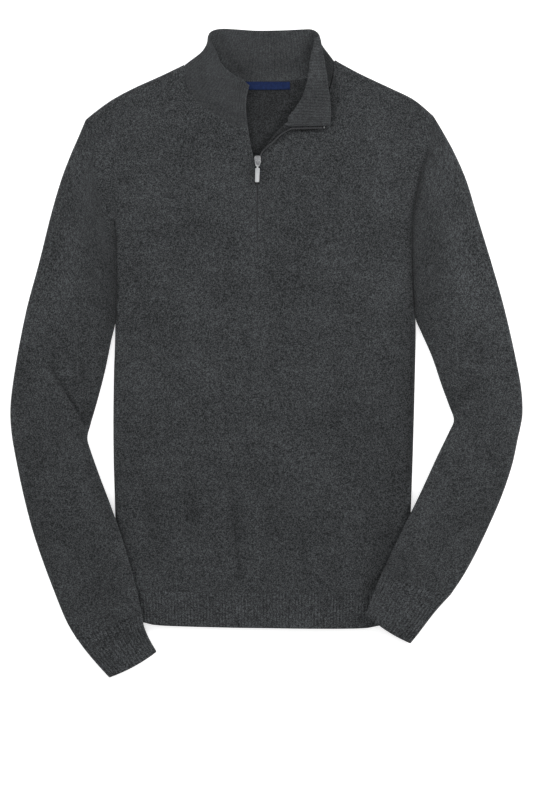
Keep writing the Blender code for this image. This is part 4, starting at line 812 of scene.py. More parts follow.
class Shader:
    """The nodes of one material."""

    def __init__(self, name: str) -> None:
        """Start an empty tree under a name."""
        self.material = bpy.data.materials.new(name)
        self.material.use_nodes = True
        self.tree = self.material.node_tree
        self.tree.nodes.clear()

    def node(self, kind: str, settings: dict | None = None, inputs: dict | None = None,
             output: int | str = 0) -> Val:
        """Add a node.

        Args:
            kind: The node's type.
            settings: What is set on the node itself, before its sockets.
            inputs: Values or links of its sockets, by name or number.
            output: Which socket comes back.

        Returns:
            That socket.
        """
        made = self.tree.nodes.new(kind)
        for name, value in (settings or {}).items():
            setattr(made, name, value)
        for name, value in (inputs or {}).items():
            if isinstance(value, Val):
                self.tree.links.new(value.socket, made.inputs[name])
            else:
                made.inputs[name].default_value = value
        return Val(self, made.outputs[output])

    def math(self, operation: str, *values: Val | float) -> Val:
        """One Math node on one value or two."""
        return self.node("ShaderNodeMath", {"operation": operation}, dict(enumerate(values)))

    def cloth_place(self) -> tuple[Val, Val, Val]:
        """Place on the flat cloth, in metres: as a vector, across, and along the knitting."""
        where = self.node("ShaderNodeUVMap", {"uv_map": "cloth"})
        across = self.node("ShaderNodeSeparateXYZ", None, {0: where}, "X")
        along = Val(self, across.socket.node.outputs["Y"])
        return where, across, along

    def noise(self, where: Val, size: float, detail: float = 0.0, roughness: float = 0.5,
              dimensions: str = "2D") -> Val:
        """Soft noise about zero, from about -1 to 1.

        Args:
            where: Where it is read.
            size: How large a blotch is, in metres.
            detail: How many finer octaves it has.
            roughness: How strong those are.
            dimensions: "2D" on the flat cloth, "3D" in space.

        Returns:
            The noise.
        """
        found = self.node("ShaderNodeTexNoise", {"noise_dimensions": dimensions},
                          {"Vector": where, "Scale": 1 / size, "Detail": detail, "Roughness": roughness})
        return (found - 0.5) * 3.0

    def speckle(self, *places: Val) -> Val:
        """A number from 0 to 1 for each whole pair of places, unlike its neighbours'."""
        at = self.node("ShaderNodeCombineXYZ", None, dict(enumerate(places)))
        return self.node("ShaderNodeTexWhiteNoise", {"noise_dimensions": "2D"}, {"Vector": at})

    def shaded(self, colour: Point | Val, light: Val) -> Val:
        """A colour made lighter or darker by a factor."""
        return self.node("ShaderNodeVectorMath", {"operation": "SCALE"}, {0: colour, "Scale": light})

    def blended(self, share: Val, first: Point, second: Point) -> Val:
        """A colour between two."""
        made = self.node("ShaderNodeMix", {"data_type": "RGBA"}, None, 2)
        node = made.socket.node
        self.tree.links.new(share.socket, node.inputs["Factor"])
        node.inputs[6].default_value = (*first, 1)
        node.inputs[7].default_value = (*second, 1)
        return made

    def surface(self, settings: dict, height: Val | None = None, depth: float = 0.0) -> bpy.types.Material:
        """Close the tree with its shader.

        Args:
            settings: Values or links of the shader's sockets.
            height: Relief from 0 to 1.
            depth: How deep that relief is, in metres.

        Returns:
            The finished material.
        """
        inputs = dict(settings)
        if height is not None:
            inputs["Normal"] = self.node("ShaderNodeBump", None,
                                         {"Height": height, "Strength": 1.0, "Distance": depth})
        shader = self.node("ShaderNodeBsdfPrincipled", None, inputs)
        output = self.tree.nodes.new("ShaderNodeOutputMaterial")
        self.tree.links.new(shader.socket, output.inputs["Surface"])
        return self.material


class Finish:
    """What every finish has: a slot of the record, and a material made once."""

    slot: str
    made: dict[str, bpy.types.Material] = {}

    def build(self) -> bpy.types.Material:
        """Make the material."""
        raise NotImplementedError

    def material(self) -> bpy.types.Material:
        """The material, made the first time that it is asked for."""
        key = repr(self)
        if key not in Finish.made:
            Finish.made[key] = self.build()
        return Finish.made[key]


class Structure(Enum):
    """How a piece is knitted."""

    PLAIN = "plain"
    RIB = "rib"


@dataclass(frozen=True)
class Knit(Finish):
    """Heather yarn, knitted plain or ribbed; lengths are in metres. Its colour also carries painted shade in the
    stitch hollows, the rib grooves and on the purl face, and the cloth's painted shade and light.
    """

    slot: str
    structure: Structure
    deep: Point
    light: Point
    wale: float = 0.00100
    course: float = 0.00098
    relief: float = 0.00030
    rib_pitch: float = RIB_PITCH * MM
    stitch: float = 1.9                 # how unlike its neighbours each stitch is
    fleck: float = 0.10
    mottle: float = 0.10
    cloud: float = 0.15
    drift: float = 0.18
    # painted shade in the rib grooves: how much darker a groove is drawn than a crest
    groove: float = 0.42
    purl_painted_shade: float = 0.49            # painted shade: how much darker the purl face is drawn
    wrong_even: float = 0.20            # how much less its stitches differ

    def loops(self, tree: Shader, across: Val, along: Val, purl: Val) -> Val:
        """Relief of the stitches: plain on the right side, purl on the wrong side."""
        beside = 2 * abs(across.fraction() - 0.5)
        turn = (along + 0.6 * beside).fraction()
        plain = beside.hump() ** 0.6 * (0.35 + 0.65 * turn.hump())
        bump = (along + 0.18 * beside).fraction().hump() * (0.55 + 0.45 * beside)
        return plain + purl * (bump - plain)

    def build(self) -> bpy.types.Material:
        """Make the material."""
        tree = Shader(f"{self.slot}_{self.structure.value}_{round(100 * self.stitch)}")
        where, u, v = tree.cloth_place()
        side = tree.node("ShaderNodeAttribute", {"attribute_name": "purl"}, None, "Fac")
        # painted shade and light, read from the cloth's attribute
        painted_shade_and_light = tree.node("ShaderNodeAttribute", {"attribute_name": "painted_shade_and_light"}, None, "Fac")
        wander = tree.noise(where, 0.006) * 0.12
        crest = None
        if self.structure is Structure.RIB:
            phase = (u * (1 / self.rib_pitch)).fraction()
            crest = phase.hump()
            across = u * (4 / self.rib_pitch) + 0.5
            groove = ((0.62 - crest) * 6.0).clamped()
            purl = side + groove - 2 * side * groove
        else:
            across = u * (1 / self.wale) + wander
            purl = side
        along = v * (1 / self.course) + wander
        height = self.loops(tree, across, along, purl)
        spot = tree.speckle(across.whole(), along.whole())
        streaky = tree.node("ShaderNodeMapping", None, {"Vector": where, "Scale": (0.3, 1.0, 1.0)})
        uneven = self.stitch * (spot - 0.5)
        light = (uneven * (1 - self.wrong_even * side)
                 + self.mottle * tree.noise(streaky, 0.0018, 1.0, 0.6)
                 + self.cloud * tree.noise(streaky, 0.009, 2.0, 0.6)
                 + self.drift * tree.noise(where, 0.06, 1.0)
                 + self.fleck * ((spot - 0.88) * 8.0).clamped())
        # painted shade in the hollows of the stitches, and the cloth's painted shade and light
        shade = tree.math("MAXIMUM", 1 + 0.5 * light, 0.3) ** 2.0 * (0.61 + 0.38 * height) * (1 - painted_shade_and_light)
        if crest is None:
            # painted shade on the purl face, standing in for the shade inside the neck
            shade = shade * (1 - self.purl_painted_shade * side)
        else:
            # painted shade in the rib grooves
            shade = shade * (1 - self.groove + self.groove * crest ** 0.5)
        colour = tree.blended((0.5 + 0.5 * tree.noise(where, 0.005)).clamped(), self.deep, self.light)
        fuzz = tree.noise(where, 0.0006) * 0.10
        return tree.surface({"Base Color": tree.shaded(colour, shade), "Roughness": 0.93,
                             "Specular IOR Level": 0.15, "Sheen Weight": 0.10, "Sheen Roughness": 0.55,
                             "Sheen Tint": (0.70, 0.71, 0.73, 1)}, height + fuzz, self.relief)


@dataclass(frozen=True)
class Tape(Finish):
    """Woven zip tape: a fine twill."""

    slot: str = "zip_tape"
    colour: Point = (0.026, 0.027, 0.030)
    rib: float = 0.0007

    def build(self) -> bpy.types.Material:
        """Make the material."""
        tree = Shader("zip_tape_twill")
        where, u, v = tree.cloth_place()
        twill = ((u + v) * (1 / self.rib)).fraction().hump() * (0.6 + 0.4 * (v * (1 / self.rib)).fraction().hump())
        # the twill's hollows are drawn darker, as painted shade; the noise is the tape's own uneven tone
        light = 0.7 + 0.45 * twill + 0.16 * tree.noise(where, 0.004, 1.0)
        return tree.surface({"Base Color": tree.shaded(self.colour, light), "Roughness": 0.78,
                             "Specular IOR Level": 0.3, "Sheen Weight": 0.1}, twill, 0.00012)


@dataclass(frozen=True)
class Metal(Finish):
    """Plated metal with a soft polish, fine scratches and a little handling."""

    slot: str = "nickel"
    colour: Point = (0.54, 0.55, 0.56)

    def build(self) -> bpy.types.Material:
        """Make the material."""
        tree = Shader("nickel_plate")
        where = tree.node("ShaderNodeTexCoord", None, None, "Object")
        stretched = tree.node("ShaderNodeMapping", None, {"Vector": where, "Scale": (6.0, 1.0, 1.0)})
        scratch = tree.noise(stretched, 0.0012, 3.0, 0.7, "3D")
        handled = tree.noise(where, 0.0035, 2.0, 0.6, "3D")
        light = 1 - 0.10 * abs(handled) - 0.04 * abs(scratch)
        return tree.surface({"Base Color": tree.shaded(self.colour, light), "Metallic": 1.0,
                             "Roughness": 0.34 + 0.04 * handled + 0.03 * abs(scratch)},
                            scratch, 0.00002)


@dataclass(frozen=True)
class Woven(Finish):
    """A satin-woven label with a plain woven border."""

    width: float
    height: float
    slot: str = "navy_label"
    ground: Point = (0.0056, 0.0150, 0.0600)
    border: Point = (0.0045, 0.0095, 0.0380)
    pick: float = 0.00022
    inset: float = 0.0009
    line: float = 0.00045

    def build(self) -> bpy.types.Material:
        """Make the material."""
        tree = Shader("navy_label_weave")
        where, u, v = tree.cloth_place()
        from_edge = tree.math("MINIMUM", tree.math("MINIMUM", u, self.width - u),
                              tree.math("MINIMUM", v, self.height - v))
        frame = (1 - abs(from_edge - self.inset) * (2 / self.line)).clamped()
        picks = (v * (1 / self.pick)).fraction().hump()
        ends = (u * (0.5 / self.pick)).fraction().hump()
        weave = picks * (0.7 + 0.3 * ends)
        # the hollows between the picks are drawn darker, as painted shade; the noise is the label's own uneven tone
        light = 0.74 + 0.36 * weave + 0.24 * tree.noise(where, 0.003, 1.0)
        colour = tree.blended(frame, self.ground, self.border)
        return tree.surface({"Base Color": tree.shaded(colour, light), "Roughness": 0.7,
                             "Specular IOR Level": 0.12}, weave, 0.00006)


@dataclass(frozen=True)
class Yarn(Finish):
    """Thread of the sewing and the moulded coil of the zip."""

    slot: str
    colour: Point
    roughness: float = 0.8
    ply: float = 0.0005

    def build(self) -> bpy.types.Material:
        """Make the material."""
        tree = Shader(f"{self.slot}_yarn_{round(self.roughness * 100)}")
        where = tree.node("ShaderNodeTexCoord", None, None, "Object")
        x = tree.node("ShaderNodeSeparateXYZ", None, {0: where}, "X")
        y = Val(tree, x.socket.node.outputs["Y"])
        twist = ((x + y) * (1 / self.ply)).fraction().hump()
        # the hollows between the plies are drawn darker, as painted shade; the noise is the thread's own uneven tone
        light = 0.72 + 0.36 * twist + 0.22 * tree.noise(where, 0.004, 1.0, dimensions="3D")
        return tree.surface({"Base Color": tree.shaded(self.colour, light), "Roughness": self.roughness,
                             "Specular IOR Level": 0.3, "Sheen Weight": 0.1}, twist, 0.00008)


@dataclass(frozen=True)
class Paper(Finish):
    """The pale sweep that the garment lies on."""

    slot: str = "floor"
    colour: Point = (0.90, 0.90, 0.90)
    glow: float = 0.52

    def build(self) -> bpy.types.Material:
        """Make the material."""
        tree = Shader("studio_sweep")
        where = tree.node("ShaderNodeTexCoord", None, None, "Object")
        light = 1 + 0.01 * tree.noise(where, 0.4, 2.0, dimensions="3D")
        return tree.surface({"Base Color": tree.shaded(self.colour, light), "Roughness": 0.9,
                             "Specular IOR Level": 0.1, "Emission Color": (1.0, 1.0, 1.0, 1),
                             "Emission Strength": self.glow})


KNIT = Knit("heather_knit", Structure.PLAIN, (0.0395, 0.0422, 0.0446), (0.0462, 0.0494, 0.0519))
RIB = Knit("heather_rib", Structure.RIB, (0.0490, 0.0523, 0.0554), (0.0569, 0.0607, 0.0640), stitch=1.9)
FINE_RIB = Knit("heather_rib", Structure.RIB, (0.0480, 0.0512, 0.0540), (0.0558, 0.0594, 0.0623),
                stitch=1.0, fleck=0.05, mottle=0.07, cloud=0.12, groove=0.26)
TAPE = Tape()
METAL = Metal()
# the same nickel drawn darker, as painted shade on the slider and the top stop
NICKEL_PAINTED_SHADE = Metal(colour=(0.33, 0.335, 0.345))
SEWING = Yarn("heather_knit", (0.030, 0.032, 0.035), 0.85)
LINKING = Yarn("heather_rib", (0.044, 0.047, 0.051), 0.9, 0.0006)
COIL = Yarn("zip_tape", (0.060, 0.062, 0.066), 0.45, 0.0004)


# --- body ----------------------------------------------------------------------------------

SEAM_EASE = 0.15                       # a curved edge's cloth ends this far from its seam


@dataclass
class ClothFacts:
    """What a sheet of cloth says of its cut."""

    flat: tuple[float, float]
    area: float
    rests_on: tuple[str, ...]

    def declare(self, thing: bpy.types.Object) -> None:
        """Does nothing: the piece and its cut are not declared anywhere."""


def cloth_facts(rests_on: Sequence[str], middle: Array, flat: Array, present: Array | None = None) -> ClothFacts:
    """Measure the cut of one piece of cloth.

    Args:
        rests_on: Names of what it lies on.
        middle: Places of its middle surface.
        flat: The same places on the flat cloth.
        present: Which cells are there (None for all).

    Returns:
        Its flat width, length and area.
    """
    cross = np.cross(middle[1:, 1:] - middle[:-1, :-1], middle[1:, :-1] - middle[:-1, 1:])
    keep = np.ones(cross.shape[:2], bool) if present is None else present
    area = float(np.linalg.norm(cross[keep], axis=-1).sum() / 2)
    spots = np.concatenate([flat[:-1, :-1][keep], flat[1:, 1:][keep], flat[1:, :-1][keep]])
    width, length = (float(size) * MM for size in np.ptp(spots, axis=0))
    return ClothFacts((width, length), min(area * MM * MM, width * length), tuple(rests_on))


def shoulder_lines(shoulder: Sequence[Point], seam: Sequence[Point], shares: Array,
                   radius: float) -> tuple[Array, Array, Array]:
    """Lines of a shoulder fold.

    Args:
        shoulder: The fold's outer edge.
        seam: The seam on the front that the back reaches.
        shares: Where along them.
        radius: The fold's radius, at mid wall.

    Returns:
        The fold's core, the way in from it, and the edge just short of the seam.
    """
    edge = path(shoulder, shares)
    joined = path(seam, shares)
    inward = unit(joined - edge)
    return edge + inward * (radius + WALL / 2), inward, joined - inward * SEAM_EASE


@dataclass
class BackPanel:
    """The back: it lies flat, and wraps over both shoulders to a seam on the front."""

    side_cells: int = 34
    neck_cells: int = 52
    row_size: float = 0.0085
    nose_steps: int = 13
    flap_rows: int = 15
    radius: float = (EDGE_TOP - WALL) / 2
    side_inset: float = 1.2
    rise: float = 30.0                  # the flap reaches the body's height over this distance

    def columns(self) -> tuple[Array, int]:
        """Shares across the back, and how many belong to one shoulder."""
        left = with_lips(np.linspace(0, 1, self.side_cells), 130.0) * COLUMN_NECK_BACK[0]
        middle = np.linspace(*COLUMN_NECK_BACK, self.neck_cells)[1:-1]
        return np.concatenate([left, middle, 1 - left[::-1]]), len(left)

    def rows(self) -> Array:
        """Shares from the hem to the shoulder folds."""
        size = self.row_size
        stops = (0.0, ROW_UNDERARM, ROW_SHOULDER_SEAM, 1.0)
        return with_lips(fine_steps(stops, (size, size * 0.7, size * 0.6)), 640.0)

    def over_shoulder(self, core: Array, inward: Array, seam: Array, sides: Sequence[Array],
                      across: Array, steps: Array) -> tuple[Array, Array, Array]:
        """Rows round one fold and down the front.

        Args:
            core: The fold's core.
            inward: The way in from it.
            seam: The edge at the seam.
            sides: The flap's two sides, from the core to the seam.
            across: Shares across the flap.
            steps: Shares down it.

        Returns:
            The rows (row, column, xyz), their places on the flat cloth, and those that the
            knitting follows, whose courses run along the seam.
        """
        layers, used = [], []
        for angle in np.radians(np.linspace(-90, 90, self.nose_steps + 2)[1:-1]):
            xy = core - inward * self.radius * math.cos(angle)
            z = BACK_MID + self.radius * (1 + math.sin(angle))
            layers.append(np.column_stack([xy, np.full(len(xy), z)]))
            used.append(np.full(len(xy), self.radius * (angle + math.pi / 2)))
        start = EDGE_TOP - WALL / 2
        for row in coons(core, seam, *sides, across, steps):
            away = np.linalg.norm(row - core, axis=1)
            goal = BODY.top(row[:, 0], row[:, 1]) - WALL / 2
            layers.append(np.column_stack([row, start + (goal - start) * smoothstep(away / self.rise)]))
            used.append(self.radius * math.pi + away)
        used = np.array(used)
        flat = core[None] - inward[None] * used[..., None]
        knit = np.dstack([np.broadcast_to(lengths(core), used.shape), used])
        return np.array(layers), flat, knit

    def make(self) -> tuple[bpy.types.Object, ClothFacts]:
        """Build the panel.

        Returns:
            The panel, and its cut.
        """
        columns, n = self.columns()
        shares = columns[:n] / COLUMN_NECK_BACK[0]
        core_l, in_l, seam_l = shoulder_lines(SHOULDER_LEFT, SHOULDER_SEAM_LEFT, shares, self.radius)
        core_r, in_r, seam_r = shoulder_lines(SHOULDER_RIGHT, SHOULDER_SEAM_RIGHT, shares[::-1],
                                              self.radius)
        low, high = COLUMN_NECK_BACK
        neck = path([core_l[-1], *NECK_BACK, core_r[0]], (columns[n:-n] - low) / (high - low))
        rows = self.rows()
        breaks = [ROW_UNDERARM, ROW_SHOULDER_SEAM]
        first = chain([SIDE_LEFT, ARMHOLE_LEFT, [*ARMHOLE_TOP_LEFT[:-1], core_l[0]]], breaks, rows)
        last = chain([SIDE_RIGHT, ARMHOLE_RIGHT, [*ARMHOLE_TOP_RIGHT[:-1], core_r[-1]]], breaks, rows)
        inset = self.side_inset * smoothstep((ROW_UNDERARM - rows) / 0.02)
        first[:, 0] += inset
        last[:, 0] -= inset
        plan = coons(path(HEM_TOP, columns), np.vstack([core_l, neck, core_r]), first, last, columns, rows)
        flat = np.dstack([plan, np.full(plan.shape[:2], BACK_MID)])
        steps = with_lips(np.linspace(0, 1, self.flap_rows), 45.0, start=False)
        sides = ([core_l[0], ARMHOLE_TOP_LEFT[1], seam_l[0]], [core_l[-1], *NECK_SIDE_LEFT, seam_l[-1]],
                 [core_r[0], *NECK_SIDE_RIGHT, seam_r[0]], [core_r[-1], ARMHOLE_TOP_RIGHT[1], seam_r[-1]])
        edges = [path(side, steps) for side in sides]
        left = self.over_shoulder(core_l, in_l, seam_l, edges[:2], shares, steps)
        right = self.over_shoulder(core_r, in_r, seam_r, edges[2:], 1 - shares[::-1], steps)
        extra = len(left[0])
        whole = np.zeros((len(rows) + extra, len(columns), 3))
        cloth, knit = np.zeros((2, *whole.shape[:2], 2))
        for grid, below, flap_l, flap_r in zip((whole, cloth, knit), (flat, plan, plan), left, right):
            grid[:len(rows)] = below
            grid[len(rows):, :n], grid[len(rows):, -n:] = flap_l, flap_r
        up = np.zeros_like(whole)
        up[:len(rows)] = (0, 0, 1)
        thick = np.ones(whole.shape[:2])
        sewn = (Edge.SEWN, Edge.SEWN)
        thick[:len(rows)] = lips(flat, (Edge.SEWN, Edge.NONE), sewn)
        to_neck = np.linalg.norm(flat[:, n:-n] - flat[-1:, n:-n], axis=-1)
        thick[:len(rows), n:-n] = np.minimum(thick[:len(rows), n:-n], lip(to_neck, Edge.SEWN))
        for part in (np.s_[:n], np.s_[-n:]):
            up[len(rows):, part] = normals(whole[:, part])[len(rows):]
            thick[len(rows):, part] = lips(whole[:, part], (Edge.NONE, Edge.SEWN), sewn)[len(rows):]
        present = np.ones((whole.shape[0] - 1, whole.shape[1] - 1), bool)
        present[len(rows) - 1:, n - 1:-(n - 1)] = False
        half = up * (WALL / 2 * thick)[..., None]
        sheet = Cloth(whole + half, whole - half, knit, present=present, purl_up=True)
        return sheet.to_object("back_panel"), cloth_facts([], whole, cloth, present)


@dataclass
class FrontPanel:
    """The front: one panel, slit at the middle for the zip; its right edge is turned outward."""

    row_sizes: tuple[float, ...] = (0.0056, 0.0056, 0.0048, 0.0036, 0.0026)
    column_sizes: tuple[float, ...] = (0.0058, 0.0185, 0.0185, 0.0055)
    fine_from: tuple[float, ...] = (0.0, 0.03, COLUMN_NECK, 0.92, 1.0)
    centre_x: float = (SLIT_LEFT_X + SLIT_RIGHT_X) / 2

    def __post_init__(self) -> None:
        """Work out the rows and columns."""
        stops = (0.0, ROW_SLIT_END, ROW_UNDERARM, ROW_SLIDER, ROW_OPEN, 1.0)
        self.rows = with_lips(fine_steps(stops, self.row_sizes), 566.0)
        self.columns = with_lips(fine_steps(self.fine_from, self.column_sizes), 165.0)
        self.below = smoothstep((ROW_UNDERARM - self.rows) / 0.022)

    def half(self, side: Sequence[Point], armhole: Sequence[Point], seam: Sequence[Point],
             neck: Sequence[Point], slit_x: float, v_low: Sequence[Point], v_high: Sequence[Point]) -> Array:
        """Middle surface of one half, from its side edge (column 0) to the zip."""
        rows, columns = self.rows, self.columns
        inward = 1.0 if slit_x > side[0][0] else -1.0
        first = chain([side, armhole], [ROW_UNDERARM], rows)
        first[:, 0] += inward * WALL / 2 * self.below
        centre_low = [(self.centre_x, HEM_TOP[2][1]), (self.centre_x, SLIT_END_Y)]
        last = chain([centre_low, [(slit_x, SLIT_END_Y), v_low[0]], v_low, v_high],
                     [ROW_SLIT_END, ROW_SLIDER, ROW_OPEN], rows)
        opened = smoothstep((rows - ROW_SLIT_END) / 0.008)
        closed_part = rows < ROW_SLIDER
        last[closed_part, 0] = (self.centre_x + (last[closed_part, 0] - self.centre_x)
                                * opened[closed_part])
        hem = sorted((p for p in HEM_TOP if min(side[0][0], self.centre_x) < p[0] < max(side[0][0],
                      self.centre_x)), key=lambda p: p[0] * inward)
        bottom = path([side[0], *hem, tuple(last[0])], columns)
        bottom[0] = first[0]
        top = chain([seam, neck], [COLUMN_NECK], columns)
        plan = coons(bottom, top, first, last, columns, rows)
        middle = np.dstack([plan, BODY.top(plan[..., 0], plan[..., 1]) - WALL / 2])
        distance = np.linalg.norm(plan - first[:, None], axis=2)
        bow = np.sqrt(1 - (1 - np.clip(distance / SIDE_ROLL, 0, 1)) ** 2)
        bow = 1 - self.below[:, None] * (1 - bow)
        middle[..., 2] = FRONT_RIM + (middle[..., 2] - FRONT_RIM) * bow
        return middle

    def make(self) -> tuple[bpy.types.Object, ClothFacts]:
        """Build the panel.

        Returns:
            The panel, and its cut.
        """
        rows = self.rows
        left = self.half(SIDE_LEFT, ARMHOLE_LEFT, SHOULDER_SEAM_LEFT, NECK_FRONT_LEFT, SLIT_LEFT_X,
                         V_LEFT_LOW, V_LEFT)
        edge = [tuple(point) for point in turned_edge(np.linspace(0, 1, 17))[0]]
        right = self.half(SIDE_RIGHT, ARMHOLE_RIGHT, SHOULDER_SEAM_RIGHT, [*NECK_FRONT_RIGHT[:-1], edge[-1]],
                          SLIT_RIGHT_X, [*V_RIGHT_LOW[:-1], edge[0]], edge)[:, ::-1]
        _, outward, cloth = turned_edge(np.clip((rows - ROW_OPEN) / (1 - ROW_OPEN), 0, 1))
        steps = np.arange(V_TURN_STEPS, 0, -1) / V_TURN_STEPS
        turned = np.stack([round_the_roll(right[:, 0], outward, cloth * step) for step in steps], axis=1)
        out = np.stack([outward * (cloth * step)[:, None] for step in steps], axis=1)
        flat_turned = right[:, :1, :2] + out
        n_left, slit = left.shape[1], left.shape[1] + V_TURN_STEPS
        closed_rows = rows < ROW_OPEN - 1e-6
        joined = rows < ROW_SLIT_END + 1e-6
        both = normals(np.concatenate([left, right[:, 1:]], axis=1))
        up_left = np.where(joined[:, None, None], both[:, :n_left], normals(left))
        all_right = np.concatenate([turned, right], axis=1)
        up_right = normals(all_right)
        up_right[closed_rows, V_TURN_STEPS:] = normals(right)[closed_rows]
        beside = np.concatenate([up_left[:, -1:], both[:, n_left:]], axis=1)
        up_right[joined, V_TURN_STEPS:] = beside[joined]
        far = np.inf
        to_slit = run_length(left, 1)
        to_slit = np.where(joined[:, None], far, to_slit[:, -1:] - to_slit)
        to_edge = run_length(all_right, 1)
        closed_distance = np.concatenate([np.zeros(turned.shape[:2]), run_length(right, 1)], axis=1)
        to_edge = np.where(closed_rows[:, None], closed_distance, to_edge)
        to_edge = np.where(joined[:, None], far, to_edge)
        sewn = (Edge.SEWN, Edge.SEWN)
        thick_left = np.minimum(lips(left, sewn, (Edge.SEWN, Edge.NONE)), lip(to_slit))
        thick_right = lips(right, sewn, (Edge.NONE, Edge.SEWN))
        thick_right = np.concatenate([thick_right[:, :1].repeat(V_TURN_STEPS, axis=1), thick_right], axis=1)
        thick_right = np.minimum(thick_right, lip(to_edge))
        middle = np.concatenate([left, all_right], axis=1)
        half = np.concatenate([up_left * thick_left[..., None], up_right * thick_right[..., None]], axis=1)
        upper, lower = middle + half * WALL / 2, middle - half * WALL / 2
        for face in (upper, lower):
            face[..., 2] = np.maximum(face[..., 2], FRONT_RIM)
        present = np.ones((len(rows) - 1, middle.shape[1] - 1), bool)
        present[:, n_left - 1] = False
        present[closed_rows[:-1], n_left:slit] = False
        flat = np.concatenate([left[..., :2], flat_turned, right[..., :2]], axis=1)
        sheet = Cloth(upper, lower, flat, present=present, shared=(joined, n_left - 1, slit))
        facts = cloth_facts(["back_panel"], middle, flat, present)
        return sheet.to_object("front_panel"), facts


def turned_edge(shares: Array) -> tuple[Array, Array, Array]:
    """The roll along the open zip.

    Args:
        shares: Where along it, from the slider to the neck.

    Returns:
        Where the roll starts, the way out from it, and how much cloth goes round it.
    """
    fold, flap = path(V_FOLD, shares), path(V_FLAP_EDGE, shares)
    width = np.linalg.norm(flap - fold, axis=1)
    outward = (flap - fold) / width[:, None]
    whole = math.pi * V_ROLL + np.maximum(width - V_ROLL - WALL / 2, 0.0)
    cloth = SEAM_GAP + whole * smoothstep(np.asarray(shares) / V_TURN_SHARE)
    reach = (V_ROLL + WALL / 2) * np.sin(np.minimum(cloth / V_ROLL, math.pi / 2))
    return fold + outward * reach[:, None], outward, cloth


def round_the_roll(base: Array, outward: Array, cloth: Array) -> Array:
    """Points this much cloth past the start of the roll."""
    turn = np.minimum(cloth / V_ROLL, math.pi)
    beyond = np.maximum(cloth - math.pi * V_ROLL, 0.0)
    out = base.copy()
    out[:, :2] += outward * (beyond - V_ROLL * np.sin(turn))[:, None]
    out[:, 2] += V_ROLL * (1 - np.cos(turn))
    return out


# --- ribbed bands --------------------------------------------------------------------------

def rib_profile(phase: Array) -> Array:
    """Relief of ribs, from -1 in the groove to 1 on the crest; one rib for each whole number."""
    return 2 * np.abs(np.sin(math.pi * phase)) ** 0.75 - 1


@dataclass
class HemBand:
    """The ribbed band below the body: its front layer and its back one."""

    ribs: int = HEM_RIBS
    samples: int = 8                    # places across a rib
    rows: int = 26
    depth: float = 42.0
    back_inset: float = 1.2

    def plan(self, columns: Array, rows: Array, inset: float) -> Array:
        """The band in plan, from its lower edge up to just under the body."""
        top = path(HEM_TOP, columns) - (0, SEAM_GAP)
        bottom = path(HEM_BOTTOM, columns)
        plan = coons(top, bottom, path([top[0], bottom[0]], rows), path([top[-1], bottom[-1]], rows),
                     columns, rows)
        squeeze = 1 - 2 * inset / (plan[0, -1, 0] - plan[0, 0, 0])
        middle_x = (plan[:, :1, 0] + plan[:, -1:, 0]) / 2
        plan[..., 0] = middle_x + (plan[..., 0] - middle_x) * squeeze
        return plan[::-1]

    def flat(self, columns: Array, rows: Array) -> Array:
        """Places on the flat cloth: ribs across, courses along."""
        across = np.broadcast_to(columns * self.ribs * RIB_PITCH, (len(rows), len(columns)))
        along = np.broadcast_to(rows[:, None] * self.depth, across.shape)
        return np.dstack([across, along])

    def make_front(self) -> tuple[bpy.types.Object, ClothFacts]:
        """Build the front layer, turned down at both sides."""
        columns = np.linspace(0, 1, self.ribs * self.samples + 1)
        rows = with_lips(np.linspace(0, 1, self.rows), 42.0)
        plan = self.plan(columns, rows, WALL / 2)
        edge = np.minimum(np.linalg.norm(plan - plan[:, :1], axis=2),
                          np.linalg.norm(plan - plan[:, -1:], axis=2))
        bow = np.sqrt(1 - (1 - np.clip(edge / SIDE_ROLL, 0, 1)) ** 2)
        height = BODY.top(plan[..., 0], plan[..., 1]) - WALL / 2
        middle = np.dstack([plan, FRONT_RIM + (height - FRONT_RIM) * bow])
        thick = lips(middle, (Edge.FREE, Edge.SEWN), (Edge.NONE, Edge.NONE))
        relief = rib_profile(columns * self.ribs) * RIB_RELIEF * smoothstep(edge / 3.0) * thick
        up = normals(middle)
        upper = middle + up * (WALL / 2 * thick + relief)[..., None]
        lower = middle - up * (WALL / 2 * thick)[..., None]
        for face in (upper, lower):
            face[..., 2] = np.maximum(face[..., 2], FRONT_RIM)
        sheet = Cloth(upper, lower, self.flat(columns, rows))
        return sheet.to_object("front_hem_rib"), cloth_facts(["back_hem_rib"], middle, sheet.flat)

    def make_back(self) -> tuple[bpy.types.Object, ClothFacts]:
        """Build the back layer, flat on the surface, with its grooves underneath."""
        columns = np.linspace(0, 1, self.ribs * (self.samples - 2) + 1)
        rows = with_lips(np.linspace(0, 1, 9), 42.0)
        plan = self.plan(columns, rows, self.back_inset)
        middle = np.dstack([plan, np.full(plan.shape[:2], WALL / 2)])
        thick = lips(middle, (Edge.FREE, Edge.SEWN), (Edge.SEWN, Edge.SEWN))
        relief = (rib_profile(columns * self.ribs) - 1) * RIB_RELIEF * thick
        upper = middle + (0, 0, 1) * (WALL / 2 * thick)[..., None]
        lower = middle - (0, 0, 1) * (WALL / 2 * thick + relief)[..., None]
        sheet = Cloth(upper, lower, self.flat(columns, rows))
        return sheet.to_object("back_hem_rib"), cloth_facts([], middle, sheet.flat)


# --- sleeves and cuffs -----------------------------------------------------------------------

